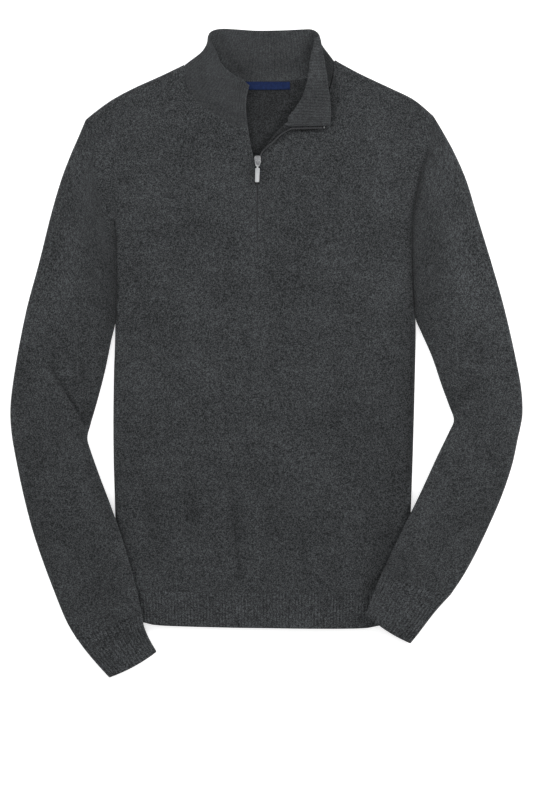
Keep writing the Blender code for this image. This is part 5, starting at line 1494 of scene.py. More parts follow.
@dataclass
class Tube:
    """A flattened tube of cloth along stations; it climbs over the body where it must."""

    stations: Sequence[Point]
    rows: Array
    over: Array                         # shares across the upper side, from the outer edge
    under: Array                        # shares back across the lower side

    def __post_init__(self) -> None:
        """Work out the section once round."""
        self.share = np.concatenate([self.over[:-1], 1 - self.under[:-1]])
        across = 2 * self.share - 1
        upper = np.arange(len(self.share)) < len(self.over) - 1
        self.upper = upper
        self.rise = np.where(upper, (1 - np.abs(across) ** 3.0) ** (1 / 2.6),
                             -(1 - np.abs(across) ** 8.0) ** (1 / 4.0))
        self.belly = np.where(upper, 1 - across**2, 0.0)

    def edges(self) -> tuple[Array, Array, Array]:
        """Outer and inner edge at mid wall, and the distance between the two, row by row."""
        table = np.asarray(self.stations, float)
        line = by_length(spline(table, 12 * len(table)), self.rows)
        toward = unit(line[:, 2:] - line[:, :2])
        outer, inner = line[:, :2] + toward * WALL / 2, line[:, 2:] - toward * WALL / 2
        return outer, inner, np.linalg.norm(inner - outer, axis=1)

    def middle(self, height: Array, armhole: Array | None = None, folds: Sequence[Point] = (),
               fullness: Array | float = 0.0, ripple: Ripple | None = None, bow: float = 0.0) -> Array:
        """Middle surface of the wall.

        Args:
            height: How tall the flattened tube is, row by row.
            armhole: The seam that the first row follows.
            folds: Soft folds of its upper side.
            fullness: How much fuller its upper side lies, row by row.
            ripple: Unevenness of its upper side.
            bow: How far the middle of the last row stands out past that row's ends.

        Returns:
            The grid (row, place round the tube, xyz).
        """
        outer, inner, _ = self.edges()
        share = self.share[None, :, None]
        plan = outer[:, None] * (1 - share) + inner[:, None] * share
        along = unit(np.gradient((outer + inner) / 2, axis=0))
        reach = bow * np.outer(self.rows, 1 - (2 * self.share - 1) ** 2)
        plan = plan + along[:, None] * reach[..., None]
        if armhole is not None:
            seam = by_length(armhole, ARMHOLE_END + self.share * (1 - 2 * ARMHOLE_END))
            fade = (1 - smoothstep(self.rows / ARMHOLE_FADE))[:, None, None]
            plan = plan + fade * (seam - plan[0])[None]
        half = (np.asarray(height)[:, None] - WALL) / 2
        x, y = plan[..., 0], plan[..., 1]
        z = BODY.under_sleeve(x, y) + WALL / 2 + half + half * self.rise
        soft = smoothstep(self.rise * 2)[None]
        z = z + soft * fold_height(x, y, folds) + self.belly[None] * np.asarray(fullness).reshape(-1, 1)
        if ripple is not None:
            z = z + soft * ripple.at(x, y)
        return np.dstack([plan, z])

    def faces(self, middle: Array, thick: Array, relief: Array | float = 0.0) -> tuple[Array, Array]:
        """Both faces of the wall.

        Args:
            middle: The middle surface.
            thick: Share of the wall at each place.
            relief: What is added to the outer face.

        Returns:
            The outer and the inner face.
        """
        wrapped = np.concatenate([middle[:, -1:], middle, middle[:, :1]], axis=1)
        up = normals(wrapped)[:, 1:-1]
        if np.sum(up * (middle - middle.mean(axis=1, keepdims=True))) < 0:
            up = -up
        outer = middle + up * (WALL / 2 * thick + relief)[..., None]
        inner = middle - up * (WALL / 2 * thick)[..., None]
        resting = (self.rise < -0.9)[None] & (outer[..., 2] < 0.4)
        groove = np.maximum(-np.broadcast_to(relief, thick.shape), 0.0)
        outer[..., 2] = np.where(resting, groove, np.maximum(outer[..., 2], 0.0))
        return outer, inner

    def flat(self, around: Array | None = None) -> Array:
        """Places on the flat cloth, with the closing column.

        Args:
            around: Place round the tube in millimetres, where it isn't the plain distance.

        Returns:
            The grid (row, column + 1, across and along).
        """
        outer, inner, width = self.edges()
        along = lengths((outer + inner) / 2)
        upper = np.append(self.upper, False)
        share = np.append(self.share, 0.0)
        turn = np.where(upper, share - 0.5, 1.5 - share)
        across = turn[None] * width[:, None] if around is None else np.broadcast_to(around, (
            len(width), len(turn)))
        return np.dstack([across, np.broadcast_to(along[:, None], across.shape)])


@dataclass
class Sleeve:
    """One sleeve: a flattened tube from the armhole to the cuff, bent at the elbow."""

    name: str
    stations: list[Point]
    lower_seam: list[Point]
    upper_seam: list[Point]
    side: int                           # -1 on the left, 1 on the right
    seed: int
    rests_on: tuple[str, ...]
    over: int = 54
    under: int = 34
    row_size: float = 0.0052
    fullness: float = 2.0

    def armhole(self) -> Array:
        """The sleeve's own edge at the armhole, from the shoulder down to the underarm."""
        line = np.vstack([spline(self.lower_seam, 300), spline(self.upper_seam, 120)[1:]])[::-1]
        way = np.gradient(line, axis=0)
        return line + unit(np.column_stack([-way[:, 1], way[:, 0]]) * self.side) * ARMHOLE_EASE

    def make(self) -> tuple[bpy.types.Object, ClothFacts]:
        """Build the sleeve.

        Returns:
            The sleeve, and its cut.
        """
        length = 690.0
        rows = with_lips(fine_steps((0.0, 1.0), (self.row_size,)), length)
        table = np.array(self.stations)
        beside = outline_x(BODY.left if self.side < 0 else BODY.right, table[:, 3]) + self.side * TOUCH_GAP
        low, way = TOUCH_FADE
        table[:, 2] += (beside - table[:, 2]) * smoothstep((table[:, 3] - low) / way)
        over = (1 - np.cos(math.pi * np.linspace(0, 1, self.over))) / 2
        over = 0.55 * over + 0.45 * np.linspace(0, 1, self.over)
        under = (1 - np.cos(math.pi * np.linspace(0, 1, self.under))) / 2
        tube = Tube(table, rows, over, under)
        start = EDGE_TOP - SEAM_DIP
        height = start + (SLEEVE_TOP - start) * smoothstep(rows / 0.12)
        full = self.fullness * smoothstep(rows / 0.16) * smoothstep((1 - rows) / 0.10)
        middle = tube.middle(height, self.armhole(), SLEEVE_FOLDS + SLEEVE_CREASES, full,
                             Ripple(self.seed, 0.55, 34.0, 110.0))
        thick = lips(middle, (Edge.SEWN, Edge.SEWN), (Edge.NONE, Edge.NONE))
        outer, inner = tube.faces(middle, thick)
        sheet = Cloth(outer, inner, tube.flat(), closed=True)
        closed = np.concatenate([middle, middle[:, :1]], axis=1)
        return sheet.to_object(self.name), cloth_facts(self.rests_on, closed, sheet.flat)


@dataclass
class Cuff:
    """One ribbed cuff at a sleeve's end."""

    name: str
    stations: list[Point]
    rests_on: tuple[str, ...]
    ribs: int = CUFF_RIBS
    samples: int = 8
    rows: int = 30

    def make(self) -> tuple[bpy.types.Object, ClothFacts]:
        """Build the cuff.

        Returns:
            The cuff, and its cut.
        """
        count = self.ribs * self.samples
        even = 2 * np.linspace(0, 1, count + 1) - 1
        side = (1 + np.sign(even) * (1 - (1 - np.abs(even)) ** 1.15)) / 2
        table = np.asarray(self.stations, float)
        way = table[1] - table[0]
        table[0] = table[0] + way / np.linalg.norm(way[:2]) * SEAM_GAP * 0.9
        rows = with_lips(np.linspace(0, 1, self.rows), 70.0)
        tube = Tube(table, rows, side, side)
        middle = tube.middle(SLEEVE_TOP + (CUFF_TOP - SLEEVE_TOP) * rows, bow=CUFF_BOW)
        thick = lips(middle, (Edge.SEWN, Edge.FREE), (Edge.NONE, Edge.NONE))
        phase = np.arange(2 * count) / self.samples
        relief = rib_profile(phase)[None] * RIB_RELIEF * thick
        outer, inner = tube.faces(middle, thick, relief)
        around = np.append(phase, 2.0 * self.ribs) * RIB_PITCH
        sheet = Cloth(outer, inner, tube.flat(around), closed=True)
        closed = np.concatenate([middle, middle[:, :1]], axis=1)
        return sheet.to_object(self.name), cloth_facts(self.rests_on, closed, sheet.flat)


# --- collar --------------------------------------------------------------------------------

@dataclass
class Collar:
    """The ribbed stand collar: standing on the left, turned over into a lapel on the right."""

    ribs: int = COLLAR_RIBS
    samples: int = 8
    rows: int = 42
    relief: float = 0.26                # its ribs are finer and flatter than the hem's
    ripple: Ripple = field(default_factory=lambda: Ripple(5, 0.45, 22.0, 60.0, 10))

    def __post_init__(self) -> None:
        """Draw the five dense lines that the surface is strung on."""
        net = self.controls()
        self.lines = np.array([spline(net[:, k], 60 * len(net)) for k in range(5)])
        self.spacing = lengths(self.lines.mean(axis=0))
        self.length = float(self.spacing[-1])

    @staticmethod
    def controls() -> Array:
        """Five points for each station, from the seam to the free edge."""
        net = []
        for station, row in enumerate(COLLAR):
            at = dict(zip(COLLAR_FIELDS, row))
            seam = np.array([at["seam_x"], at["seam_y"], at["seam_z"]])
            top = np.array([at["top_x"], at["top_y"], at["top_z"]])
            if at["kind"] == "flat":
                seam = seam + unit(seam - top) * COLLAR_SEAM_REACHES.get(station, COLLAR_SEAM_REACH)
                points = [seam + (top - seam) * share for share in (0, 0.25, 0.5, 0.75, 1)]
                for point, share in zip(points, COLLAR_WAIST_SHAPE):
                    point[0] += COLLAR_WAIST.get(station, 0.0) * share
                net.append(points)
            elif at["kind"] == "turned":
                length = np.linalg.norm(top - seam)
                points = [seam + (top - seam) * share for share in (0.0, 2.5 / length, 5.0 / length,
                                                                    12.0 / length, 1.0)]
                for point, share in zip(points[1:4], (0.45, 0.75, 1.0)):
                    point[2] = seam[2] + (max(top[2], seam[2]) - seam[2]) * share
                net.append(points)
            else:
                fold = np.array([at["fold_x"], at["fold_y"], at["fold_z"]])
                seam = seam + unit(seam - fold) * COLLAR_SEAM_REACHES.get(station, COLLAR_SEAM_REACH)
                lower = fold + unit(seam - fold) * COLLAR_FOLD_REACH
                upper = fold + unit(top - fold) * COLLAR_FOLD_REACH
                lower[2] = fold[2] - COLLAR_FOLD_HALF
                upper[2] = fold[2] + COLLAR_FOLD_HALF
                net.append([seam, lower, fold, upper, top])
        return np.array(net)

    def surface(self, columns: Array, levels: Array) -> Array:
        """Middle surface.

        Args:
            columns: Shares along the neck, from the zip's left end.
            levels: From 0 at the seam to 4 at the free edge.

        Returns:
            The grid (level, column, xyz).
        """
        line = np.interp(np.asarray(columns) * self.length, self.spacing, np.arange(len(self.spacing)))
        across = np.array([[np.interp(line, np.arange(len(self.spacing)), self.lines[k, :, c])
                            for c in range(3)] for k in range(5)]).transpose(2, 0, 1)
        out = np.zeros((len(levels), len(columns), 3))
        for j, controls in enumerate(across):
            fine = spline(controls, 401)
            for axis in range(3):
                out[:, j, axis] = np.interp(np.asarray(levels) * 100, np.arange(401), fine[:, axis])
        return out

    def make(self) -> tuple[bpy.types.Object, ClothFacts]:
        """Build the collar.

        Returns:
            The collar, and its cut.
        """
        columns = np.linspace(0, 1, self.ribs * self.samples + 1)
        levels = with_lips(np.linspace(0, 1, self.rows), 58.0) * 4
        middle = self.surface(columns, levels)
        up = normals(middle)
        edge = smoothstep(levels / 0.8)[:, None]
        middle = middle + up * (self.ripple.at(middle[..., 0], middle[..., 1]) * edge)[..., None]
        up = normals(middle)
        thick = lips(middle, (Edge.SEWN, Edge.FREE), (Edge.FREE, Edge.FREE))
        ends = np.minimum(columns, 1 - columns) * self.length
        relief = rib_profile(columns * self.ribs) * self.relief * thick * smoothstep(ends / 3.0)
        half = up * (WALL / 2 * thick + relief)[..., None]
        upper, lower = middle + half, middle - half
        for face in (upper, lower):
            face[..., 2] = np.maximum(face[..., 2], 0.0)
        across = np.broadcast_to(columns * self.ribs * RIB_PITCH, middle.shape[:2])
        along = run_length(middle, 0)
        sheet = Cloth(upper, lower, np.dstack([across, along]))
        return sheet.to_object("collar_rib"), cloth_facts(["back_panel", "front_panel"], middle, sheet.flat)


# --- zip -----------------------------------------------------------------------------------

def rounded_outline(half_near: float, half_far: float, near: float, far: float, radius: float,
                    corner_steps: int = 5, side_steps: int = 4) -> Array:
    """A tapered rectangle with round corners, once round.

    Args:
        half_near: Half its width at the near end.
        half_far: Half its width at the far end.
        near: Y of the near end.
        far: Y of the far end.
        radius: Of the corners.
        corner_steps: Points on each corner.
        side_steps: Points along each side, between corners.

    Returns:
        Its points in plan.
    """
    corners = [(half_near - radius, near - radius, 0.0), (-half_near + radius, near - radius, 90.0),
               (-half_far + radius, far + radius, 180.0), (half_far - radius, far + radius, 270.0)]
    arcs = []
    for x, y, start in corners:
        turn = np.radians(start + np.linspace(0, 90, corner_steps))
        arcs.append(np.column_stack([x + radius * np.cos(turn), y + radius * np.sin(turn)]))
    points = []
    for arc, following in zip(arcs, arcs[1:] + arcs[:1]):
        share = np.linspace(0, 1, side_steps + 2)[1:-1, None]
        points += [arc, arc[-1] * (1 - share) + following[0] * share]
    return np.vstack(points)


def loft(name: str, rings: Array, closed: bool = False) -> bpy.types.Object:
    """A solid through rings of points.

    Args:
        name: The object's name.
        rings: The rings (ring, point, xyz), each once round.
        closed: Whether the last ring joins the first; else both ends are capped.

    Returns:
        The new object.
    """
    count, around = rings.shape[:2]
    points = list(rings.reshape(-1, 3))
    faces = []
    for i in range(count if closed else count - 1):
        low, high = i * around, (i + 1) % count * around
        faces += [(low + j, low + (j + 1) % around, high + (j + 1) % around, high + j) for j in range(around)]
    if not closed:
        for ring, flip in ((0, True), (count - 1, False)):
            middle = len(points)
            points.append(rings[ring].mean(axis=0))
            for j in range(around):
                pair = (ring * around + j, ring * around + (j + 1) % around)
                faces.append((*(pair[::-1] if flip else pair), middle))
    mesh = bpy.data.meshes.new(name)
    mesh.from_pydata([tuple(np.asarray(point) * MM) for point in points], [], faces)
    mesh.update()
    mesh.shade_smooth()
    mesh.set_sharp_from_angle(angle=math.radians(50))
    return add_object(name, mesh)


def joined(name: str, parts: Sequence[bpy.types.Object]) -> bpy.types.Object:
    """One object of several closed shells."""
    work = bmesh.new()
    for part in parts:
        work.from_mesh(part.data)
        bpy.data.objects.remove(part)
    mesh = bpy.data.meshes.new(name)
    work.to_mesh(mesh)
    work.free()
    mesh.shade_smooth()
    mesh.set_sharp_from_angle(angle=math.radians(50))
    thing = bpy.data.objects.new(name, mesh)
    bpy.context.scene.collection.objects.link(thing)
    return thing


@dataclass
class ZipFastener:
    """Both tapes, the coil between and along them, the slider, its pull tab and the top stop."""

    collar: Collar
    centre_x: float = (SLIT_LEFT_X + SLIT_RIGHT_X) / 2
    plate_bottom: float = 8.2
    plate_width: float = 8.0
    plate_length: float = 12.4
    foot_width: float = 5.6
    dome: float = 1.0
    strap_width: float = 2.2
    strap_length: float = 9.0
    strap_rise: float = 3.1
    strap_thick: float = 0.8
    ring: tuple[Point, ...] = ((-2.5, 0.0), (3.2, 0.0), (3.9, -0.9), (1.6, -6.5), (-1.6, -6.5), (-3.1, -0.9))
    ring_wire: float = 0.48             # radius of the ring's wire
    eye: float = 1.15                   # radius of the tab's eye, round the ring
    eye_width: float = 2.5
    pull_width: float = 5.5
    pull_far_width: float = 5.2
    pull_near: float = -9.0
    pull_length: float = 26.2
    pull_thick: float = 1.3
    pull_lean: float = 0.03             # how far it hangs to the left, for each millimetre of its length
    coil_pitch: float = 1.25
    beyond: float = TAPE_EASE + TAPE_EDGE / 2

    def closed_part(self, side: int) -> tuple[Array, Array, Array]:
        """Rows of a tape under the closed part of the zip: centre, half width, facing."""
        y = np.linspace(SLIT_END_Y - 4, SLIDER_Y - 2, 46)
        x = np.full(len(y), self.centre_x + side * (TAPE_WIDTH + TAPE_CENTRE_GAP) / 2)
        z = BODY.top(x, y) - TAPE_DEPTH
        return (np.column_stack([x, y, z]), np.tile((-side * TAPE_WIDTH / 2, 0, 0), (len(y), 1)),
                np.tile((0, 0, 1.0), (len(y), 1)))

    def strip(self, name: str, centres: Array, across: Array, facing: Array) -> bpy.types.Object:
        """A flat woven strip.

        Args:
            name: The object's name.
            centres: Its centre line.
            across: Half its width, as vectors.
            facing: Which way its face looks.

        Returns:
            The strip.
        """
        stack = np.hstack([centres, across, facing])
        stack = by_length(stack, np.linspace(0, 1, 260))
        centres, across, facing = stack[:, :3], stack[:, 3:6], unit(stack[:, 6:]) * TAPE_THICK / 2
        steps = np.array([-1, -0.96, -0.84, -0.5, 0, 0.5, 0.84, 0.96, 1])
        middle = centres[:, None] + across[:, None] * steps[None, :, None]
        bow = 0.35 + 0.65 * np.sqrt(1 - np.abs(steps) ** 6)
        half = facing[:, None] * bow[None, :, None]
        width = np.linalg.norm(across, axis=1)
        along = np.broadcast_to(lengths(centres)[:, None], middle.shape[:2])
        flat = np.dstack([steps[None] * width[:, None], along])
        return Cloth(middle + half, middle - half, flat).to_object(name)

    def left_tape(self) -> bpy.types.Object:
        """Under the left edge of the opening, then under the standing end of the collar."""
        centres, across, facing = self.closed_part(-1)
        inset = (TAPE_WIDTH + TAPE_CENTRE_GAP) / 2
        edge = np.vstack([path(V_LEFT_LOW, (0.5,)), path(V_LEFT, np.linspace(0, 0.94, 6))])
        panel = np.column_stack([edge[:, 0] - inset, edge[:, 1], BODY.top(edge[:, 0], edge[:, 1]) - TAPE_DEPTH])
        stand = self.collar.surface([0.0], (0.0, 1.0, 2.0, 3.0, 3.8))[:, 0]
        stand = stand + (-inset, 0.0, -WALL / 2 - RIB_RELIEF - SEAM_GAP - TAPE_THICK)
        more = np.vstack([panel, stand])
        count = (len(more), 1)
        return self.strip("left_zip_tape", np.vstack([centres, more]),
                          np.vstack([across, np.tile(across[:1], count)]),
                          np.vstack([facing, np.tile(facing[:1], count)]))

    def right_rise(self) -> tuple[Array, Array, Array]:
        """Rows of the right tape past the slider: out by the turned edge, then along the lapel."""
        level = BODY.top(self.centre_x, SLIDER_Y) - WALL / 2
        rise = []
        for share, drop in ((0.25, 1.9), (0.55, 1.4), (0.82, 0.6)):
            (x, y), = path(V_RIGHT_LOW, (share,))
            rise.append(((x - self.beyond, y, level - drop), (-TAPE_EDGE / 2, 0, 0), (0, 0, 1)))
        core, outward, cloth = turned_edge(np.linspace(0.0, 0.97, 24))
        base = np.column_stack([core, BODY.top(core[:, 0], core[:, 1]) - WALL / 2])
        tip = round_the_roll(base, outward, cloth)
        ahead = unit(round_the_roll(base, outward, cloth + 0.05) - tip)
        for point, way, line in zip(tip, ahead, np.gradient(tip, axis=0)):
            rise.append((point + way * self.beyond, way * TAPE_EDGE / 2, unit(np.cross(way, line))))
        for point in self.collar.surface([1.0], np.linspace(0.6, 3.75, 10))[:, 0]:
            rise.append((point + (0, -self.beyond - 0.2, 0), (0, -TAPE_EDGE / 2, 0), (0, 0, -1)))
        more = [np.array([row[k] for row in rise], float) for k in range(3)]
        for before, face in zip([np.array((0, 0, 1.0)), *more[2]], more[2]):
            if np.dot(before, face) < 0:
                face *= -1
        return more[0], more[1], more[2]

    def right_tape(self) -> bpy.types.Object:
        """Under the closed zip, out past the turned edge, and along the end of the lapel."""
        whole = [np.vstack(pair) for pair in zip(self.closed_part(1), self.right_rise())]
        return self.strip("right_zip_tape", *whole)

    def coil(self) -> "Stitches":
        """Turns of the moulded coil: across the closed zip, and along the open right tape."""
        marks = Stitches()
        y = np.arange(SLIT_END_Y + 1.5, SLIDER_Y + 2, self.coil_pitch / 2)
        x = np.full(len(y), self.centre_x)
        z = BODY.top(x, y) - 1.6
        marks.add(np.column_stack([x, y, z]), np.tile((1.0, 0.16, 0.0), (len(y), 1)))
        centres, across, facing = self.right_rise()
        stack = np.hstack([centres, across, facing])
        count = int(lengths(centres)[-1] / self.coil_pitch)
        stack = by_length(stack, np.linspace(0.06, 1, count))
        centres, across, facing = stack[:, :3], stack[:, 3:6], unit(stack[:, 6:])
        marks.add(centres + across * 0.35 + facing * (TAPE_THICK / 2 + 0.15), across)
        marks.add(centres + across * 0.35 - facing * (TAPE_THICK / 2 + 0.15), across)
        return marks

    def outline(self, shrink: float) -> Array:
        """The slider's plate in plan, drawn in by a margin."""
        half, foot, reach = self.plate_width / 2 - shrink, self.foot_width / 2 - shrink, self.plate_length / 2
        reach -= shrink
        right = [(foot * 0.9, -reach), (foot, -reach * 0.93), (half * 0.84, -reach * 0.2), (half, reach * 0.42),
                 (half * 0.86, reach * 0.86), (half * 0.55, reach)]
        knots = right + [(-x, y) for x, y in right[::-1]]
        closed = np.array(knots[-1:] + knots + knots[:2])
        dense = spline(closed, 60 * len(closed))
        per_knot = len(dense) / (len(closed) - 1)
        dense = dense[int(per_knot):int(per_knot * (len(knots) + 1))]
        return by_length(np.vstack([dense, dense[:1]]), np.linspace(0, 1, 57)[:-1]) + SLIDER_CENTRE

    def plate(self, name: str, levels: Sequence[tuple[float, float]]) -> bpy.types.Object:
        """A plate of the slider, ring by ring: (drawn in, height)."""
        rings = []
        for shrink, z in levels:
            plan = self.outline(shrink)
            rings.append(np.column_stack([plan, np.full(len(plan), z)]))
        return loft(name, np.array(rings))

    def slider(self) -> bpy.types.Object:
        """The slider: a domed crown with flanges, its neck and foot, and the strap that holds the tab."""
        bottom = self.plate_bottom
        top = bottom + 1.0
        edge = [(0.9, bottom), (0.25, bottom), (0.0, bottom + 0.25), (0.0, top - 0.3), (0.12, top - 0.05)]
        dome = [(0.3 + 2.9 * share, top + self.dome * math.sin(share * math.pi / 2) * 0.55)
                for share in np.linspace(0, 1, 7)]
        crown = self.plate("slider_crown", edge + dome)
        foot = self.plate("slider_foot", [(1.2, 2.6), (0.8, 2.8), (0.8, 3.3), (1.2, 3.5)])
        cx, cy = SLIDER_CENTRE
        post = rounded_outline(0.5, 0.5, cy + 5.7, cy + 2.7, 0.3) + (0, 0)
        post[:, 0] += cx
        neck = loft("slider_neck", np.array([np.column_stack([post, np.full(len(post), z)])
                                             for z in (3.2, bottom + 0.4)]))
        return joined("slider_body", [crown, foot, neck, self.strap(top + 0.2)])

    def strap(self, base: float) -> bpy.types.Object:
        """The arched strap over the crown, which the tab's pin passes under."""
        cx, cy = SLIDER_CENTRE
        turn = np.linspace(-0.06, 1.06, 25) * math.pi
        reach, rise = self.strap_length / 2, self.plate_bottom + 1.3 + self.strap_rise - base
        y = -np.cos(turn) * (reach - self.strap_thick / 2)
        z = np.sign(np.sin(turn)) * np.abs(np.sin(turn)) ** 0.62 * (rise - self.strap_thick / 2)
        line = np.column_stack([y, z])
        way = unit(np.gradient(line, axis=0))
        out = np.column_stack([-way[:, 1], way[:, 0]])
        half_w, half_t = self.strap_width / 2, self.strap_thick / 2
        around = np.radians(np.arange(16) * 22.5 + 11.25)
        section_x = np.sign(np.cos(around)) * np.abs(np.cos(around)) ** 0.45 * half_w
        section_t = np.sign(np.sin(around)) * np.abs(np.sin(around)) ** 0.6 * half_t
        rings = [np.column_stack([cx + section_x * (0.82 + 0.18 * abs(math.cos(a))), cy + p[0] + o[0] * section_t,
                                  base + p[1] + o[1] * section_t]) for p, o, a in zip(line, out, turn)]
        return loft("slider_strap", np.array(rings))

    def wire_ring(self) -> bpy.types.Object:
        """The bent wire ring that joins the tab to the slider; its straight near side is the pin."""
        knots = np.array(self.ring)
        dense = []
        for before, corner, after in zip(np.roll(knots, 1, axis=0), knots, np.roll(knots, -1, axis=0)):
            start, end = corner + unit(before - corner) * 0.7, corner + unit(after - corner) * 0.7
            turn = np.linspace(0, 1, 6)[:, None]
            dense.append(start * (1 - turn) ** 2 + corner * 2 * turn * (1 - turn) + end * turn**2)
        line = np.vstack(dense)
        line = by_length(np.vstack([line, line[:1]]), np.linspace(0, 1, 73)[:-1])
        way = unit(np.roll(line, -1, axis=0) - np.roll(line, 1, axis=0))
        out = np.column_stack([way[:, 1], -way[:, 0]])
        around = np.radians(np.arange(12) * 30.0)
        rings = [np.column_stack([p[0] + o[0] * np.cos(around) * self.ring_wire,
                                  p[1] + o[1] * np.cos(around) * self.ring_wire,
                                  np.sin(around) * self.ring_wire]) for p, o in zip(line, out)]
        return loft("pull_ring", np.array(rings), closed=True)

    def tab_plate(self) -> bpy.types.Object:
        """The flat plate of the tab, and the neck that reaches its eye."""
        half_t, far = self.pull_thick / 2, -self.pull_length
        rings = []
        for turn in np.radians(np.linspace(-90, 90, 9)):
            shrink = 0.4 * (1 - math.cos(turn))
            plan = rounded_outline(self.pull_width / 2 - shrink, self.pull_far_width / 2 - shrink,
                                   self.pull_near - shrink, far + shrink, 0.9 - shrink)
            rings.append(np.column_stack([plan, np.full(len(plan), half_t * math.sin(turn))]))
        plate = loft("pull_plate", np.array(rings))
        neck = rounded_outline(1.1, 1.1, self.ring[3][1], self.pull_near - 1.2, 0.3)
        bar = loft("pull_neck", np.array([np.column_stack([neck, np.full(len(neck), z)])
                                          for z in (-half_t * 0.8, half_t * 0.8)]))
        return joined("pull_flat", [plate, bar])

    def pull(self) -> bpy.types.Object:
        """The pull tab: a wire ring on the slider, and a flat plate with an eye round the ring."""
        around = np.radians(np.arange(24) * 15.0)
        eye = np.array([np.column_stack([np.full(24, x), self.ring[3][1] + radius * np.cos(around),
                                         radius * np.sin(around)])
                        for x, radius in ((-self.eye_width / 2, self.eye - 0.3), (-self.eye_width / 2 + 0.3, self.eye),
                                          (self.eye_width / 2 - 0.3, self.eye), (self.eye_width / 2, self.eye - 0.3))])
        thing = joined("pull_tab_metal", [self.wire_ring(), loft("pull_eye", eye), self.tab_plate()])
        for corner in thing.data.vertices:
            corner.co.x += self.pull_lean * min(0.0, corner.co.y - self.ring[3][1] * MM)
        place = (Matrix.Translation(Vector((*SLIDER_CENTRE, PIN_HEIGHT)) * MM)
                 @ Matrix.Rotation(PULL_DROOP, 4, "X"))
        thing.data.transform(place)
        return thing

    def top_stop(self) -> bpy.types.Object:
        """The small metal stop closed round the coil near the end of the lapel."""
        (x, y, z), = self.collar.surface([1.0], (3.82,))[:, 0]
        y -= self.beyond
        rings = []
        for shrink, level in ((0.3, -0.8), (0.0, -0.5), (0.0, 0.5), (0.3, 0.8)):
            plan = rounded_outline(0.7 - shrink, 0.7 - shrink, y + 1.0 - shrink, y - 1.0 + shrink, 0.35 - shrink / 2)
            plan[:, 0] += x
            rings.append(np.column_stack([plan, np.full(len(plan), z + level)]))
        return loft("top_stop", np.array(rings))


# --- label ---------------------------------------------------------------------------------

@dataclass
class NeckLabel:
    """The bare woven label inside the back of the neck, sewn down at both ends."""

    left: float = -35.0
    right: float = 28.7
    low: float = 321.6
    high: float = 331.0
    thick: float = 0.6
    bow: float = 0.5
    base: float = WALL + SEAM_GAP

    def make(self) -> tuple[bpy.types.Object, Finish]:
        """Build the label.

        Returns:
            The label and its finish.
        """
        u = with_lips(np.linspace(0, 1, 70), self.right - self.left)
        v = with_lips(np.linspace(0, 1, 14), self.high - self.low)
        x = self.left + (self.right - self.left) * u[None] + 0 * v[:, None]
        sag = self.bow * (1 - (2 * u - 1) ** 2)
        y = (self.low - sag)[None] + (self.high - self.low + sag)[None] * v[:, None]
        lift = 0.35 * np.sin(math.pi * u)[None] * (1 - v[:, None]) + 0.08 * np.sin(9 * math.pi * u)[None]
        thick = lips(np.dstack([x, y, 0 * x]), (Edge.FREE, Edge.FREE), (Edge.FREE, Edge.FREE))
        high = np.dstack([x, y, self.base + 0.15 + lift + self.thick / 2 * (1 + thick)])
        low = np.dstack([x, y, self.base + 0.15 + lift + self.thick / 2 * (1 - thick)])
        flat = np.dstack([x - self.left, y - y[:1]])
        finish = Woven((self.right - self.left) * MM, (self.high - self.low) * MM)
        return Cloth(high, low, flat).to_object("neck_label_woven"), finish


# --- sewing --------------------------------------------------------------------------------

@dataclass
class Stitches:
    """Where stitches lie, and which way each one points."""

    places: list[Array] = field(default_factory=list)
    ways: list[Array] = field(default_factory=list)

    def add(self, places: Array, ways: Array) -> None:
        """Add a row of stitches."""
        self.places.append(np.asarray(places, float))
        self.ways.append(unit(np.asarray(ways, float)))

    def along(self, line: Array, pitch: float, lean: float = 0.0) -> None:
        """Add stitches along a line in space.

        Args:
            line: The line.
            pitch: From one stitch to the next.
            lean: Degrees that each is turned from the line, seen from above.
        """
        count = max(2, int(lengths(line)[-1] / pitch))
        places = by_length(line, (np.arange(count) + 0.5) / count)
        way = unit(np.gradient(places, axis=0))
        c, s = math.cos(math.radians(lean)), math.sin(math.radians(lean))
        turned = np.column_stack([way[:, 0] * c - way[:, 1] * s, way[:, 0] * s + way[:, 1] * c,
                                  way[:, 2] * abs(c)])
        self.add(places, turned)

    def to_object(self, name: str, size: tuple[float, float, float], seed: int) -> bpy.types.Object:
        """Put a small bead of thread at every place.

        Args:
            name: The object's name.
            size: Length, width and height of a bead.
            seed: Seed of the beads' unevenness.

        Returns:
            The new object.
        """
        places, ways = np.vstack(self.places), np.vstack(self.ways)
        turn = np.column_stack([np.zeros(len(ways)), -np.arcsin(np.clip(ways[:, 2], -1, 1)),
                                np.arctan2(ways[:, 1], ways[:, 0])])
        mesh = bpy.data.meshes.new(name)
        mesh.from_pydata((places * MM).tolist(), [], [])
        attribute = mesh.attributes.new("turn", "FLOAT_VECTOR", "POINT")
        attribute.data.foreach_set("vector", turn.astype(np.float32).ravel())
        carrier = bpy.data.objects.new(name + "_places", mesh)
        bpy.context.scene.collection.objects.link(carrier)
        tree = BeadTree()
        modifier = carrier.modifiers.new("beads", "NODES")
        modifier.node_group = tree.group
        for field_name, value in zip(("Length", "Width", "Height", "Seed"),
                                     (size[0] * MM, size[1] * MM, size[2] * MM, seed)):
            modifier[tree.identifier(field_name)] = value
        bpy.context.view_layer.update()
        evaluated = carrier.evaluated_get(bpy.context.evaluated_depsgraph_get())
        solid = bpy.data.meshes.new_from_object(evaluated)
        solid.name = name
        carrier.modifiers.remove(modifier)
        bpy.data.objects.remove(carrier)
        thing = bpy.data.objects.new(name, solid)
        bpy.context.scene.collection.objects.link(thing)
        return thing


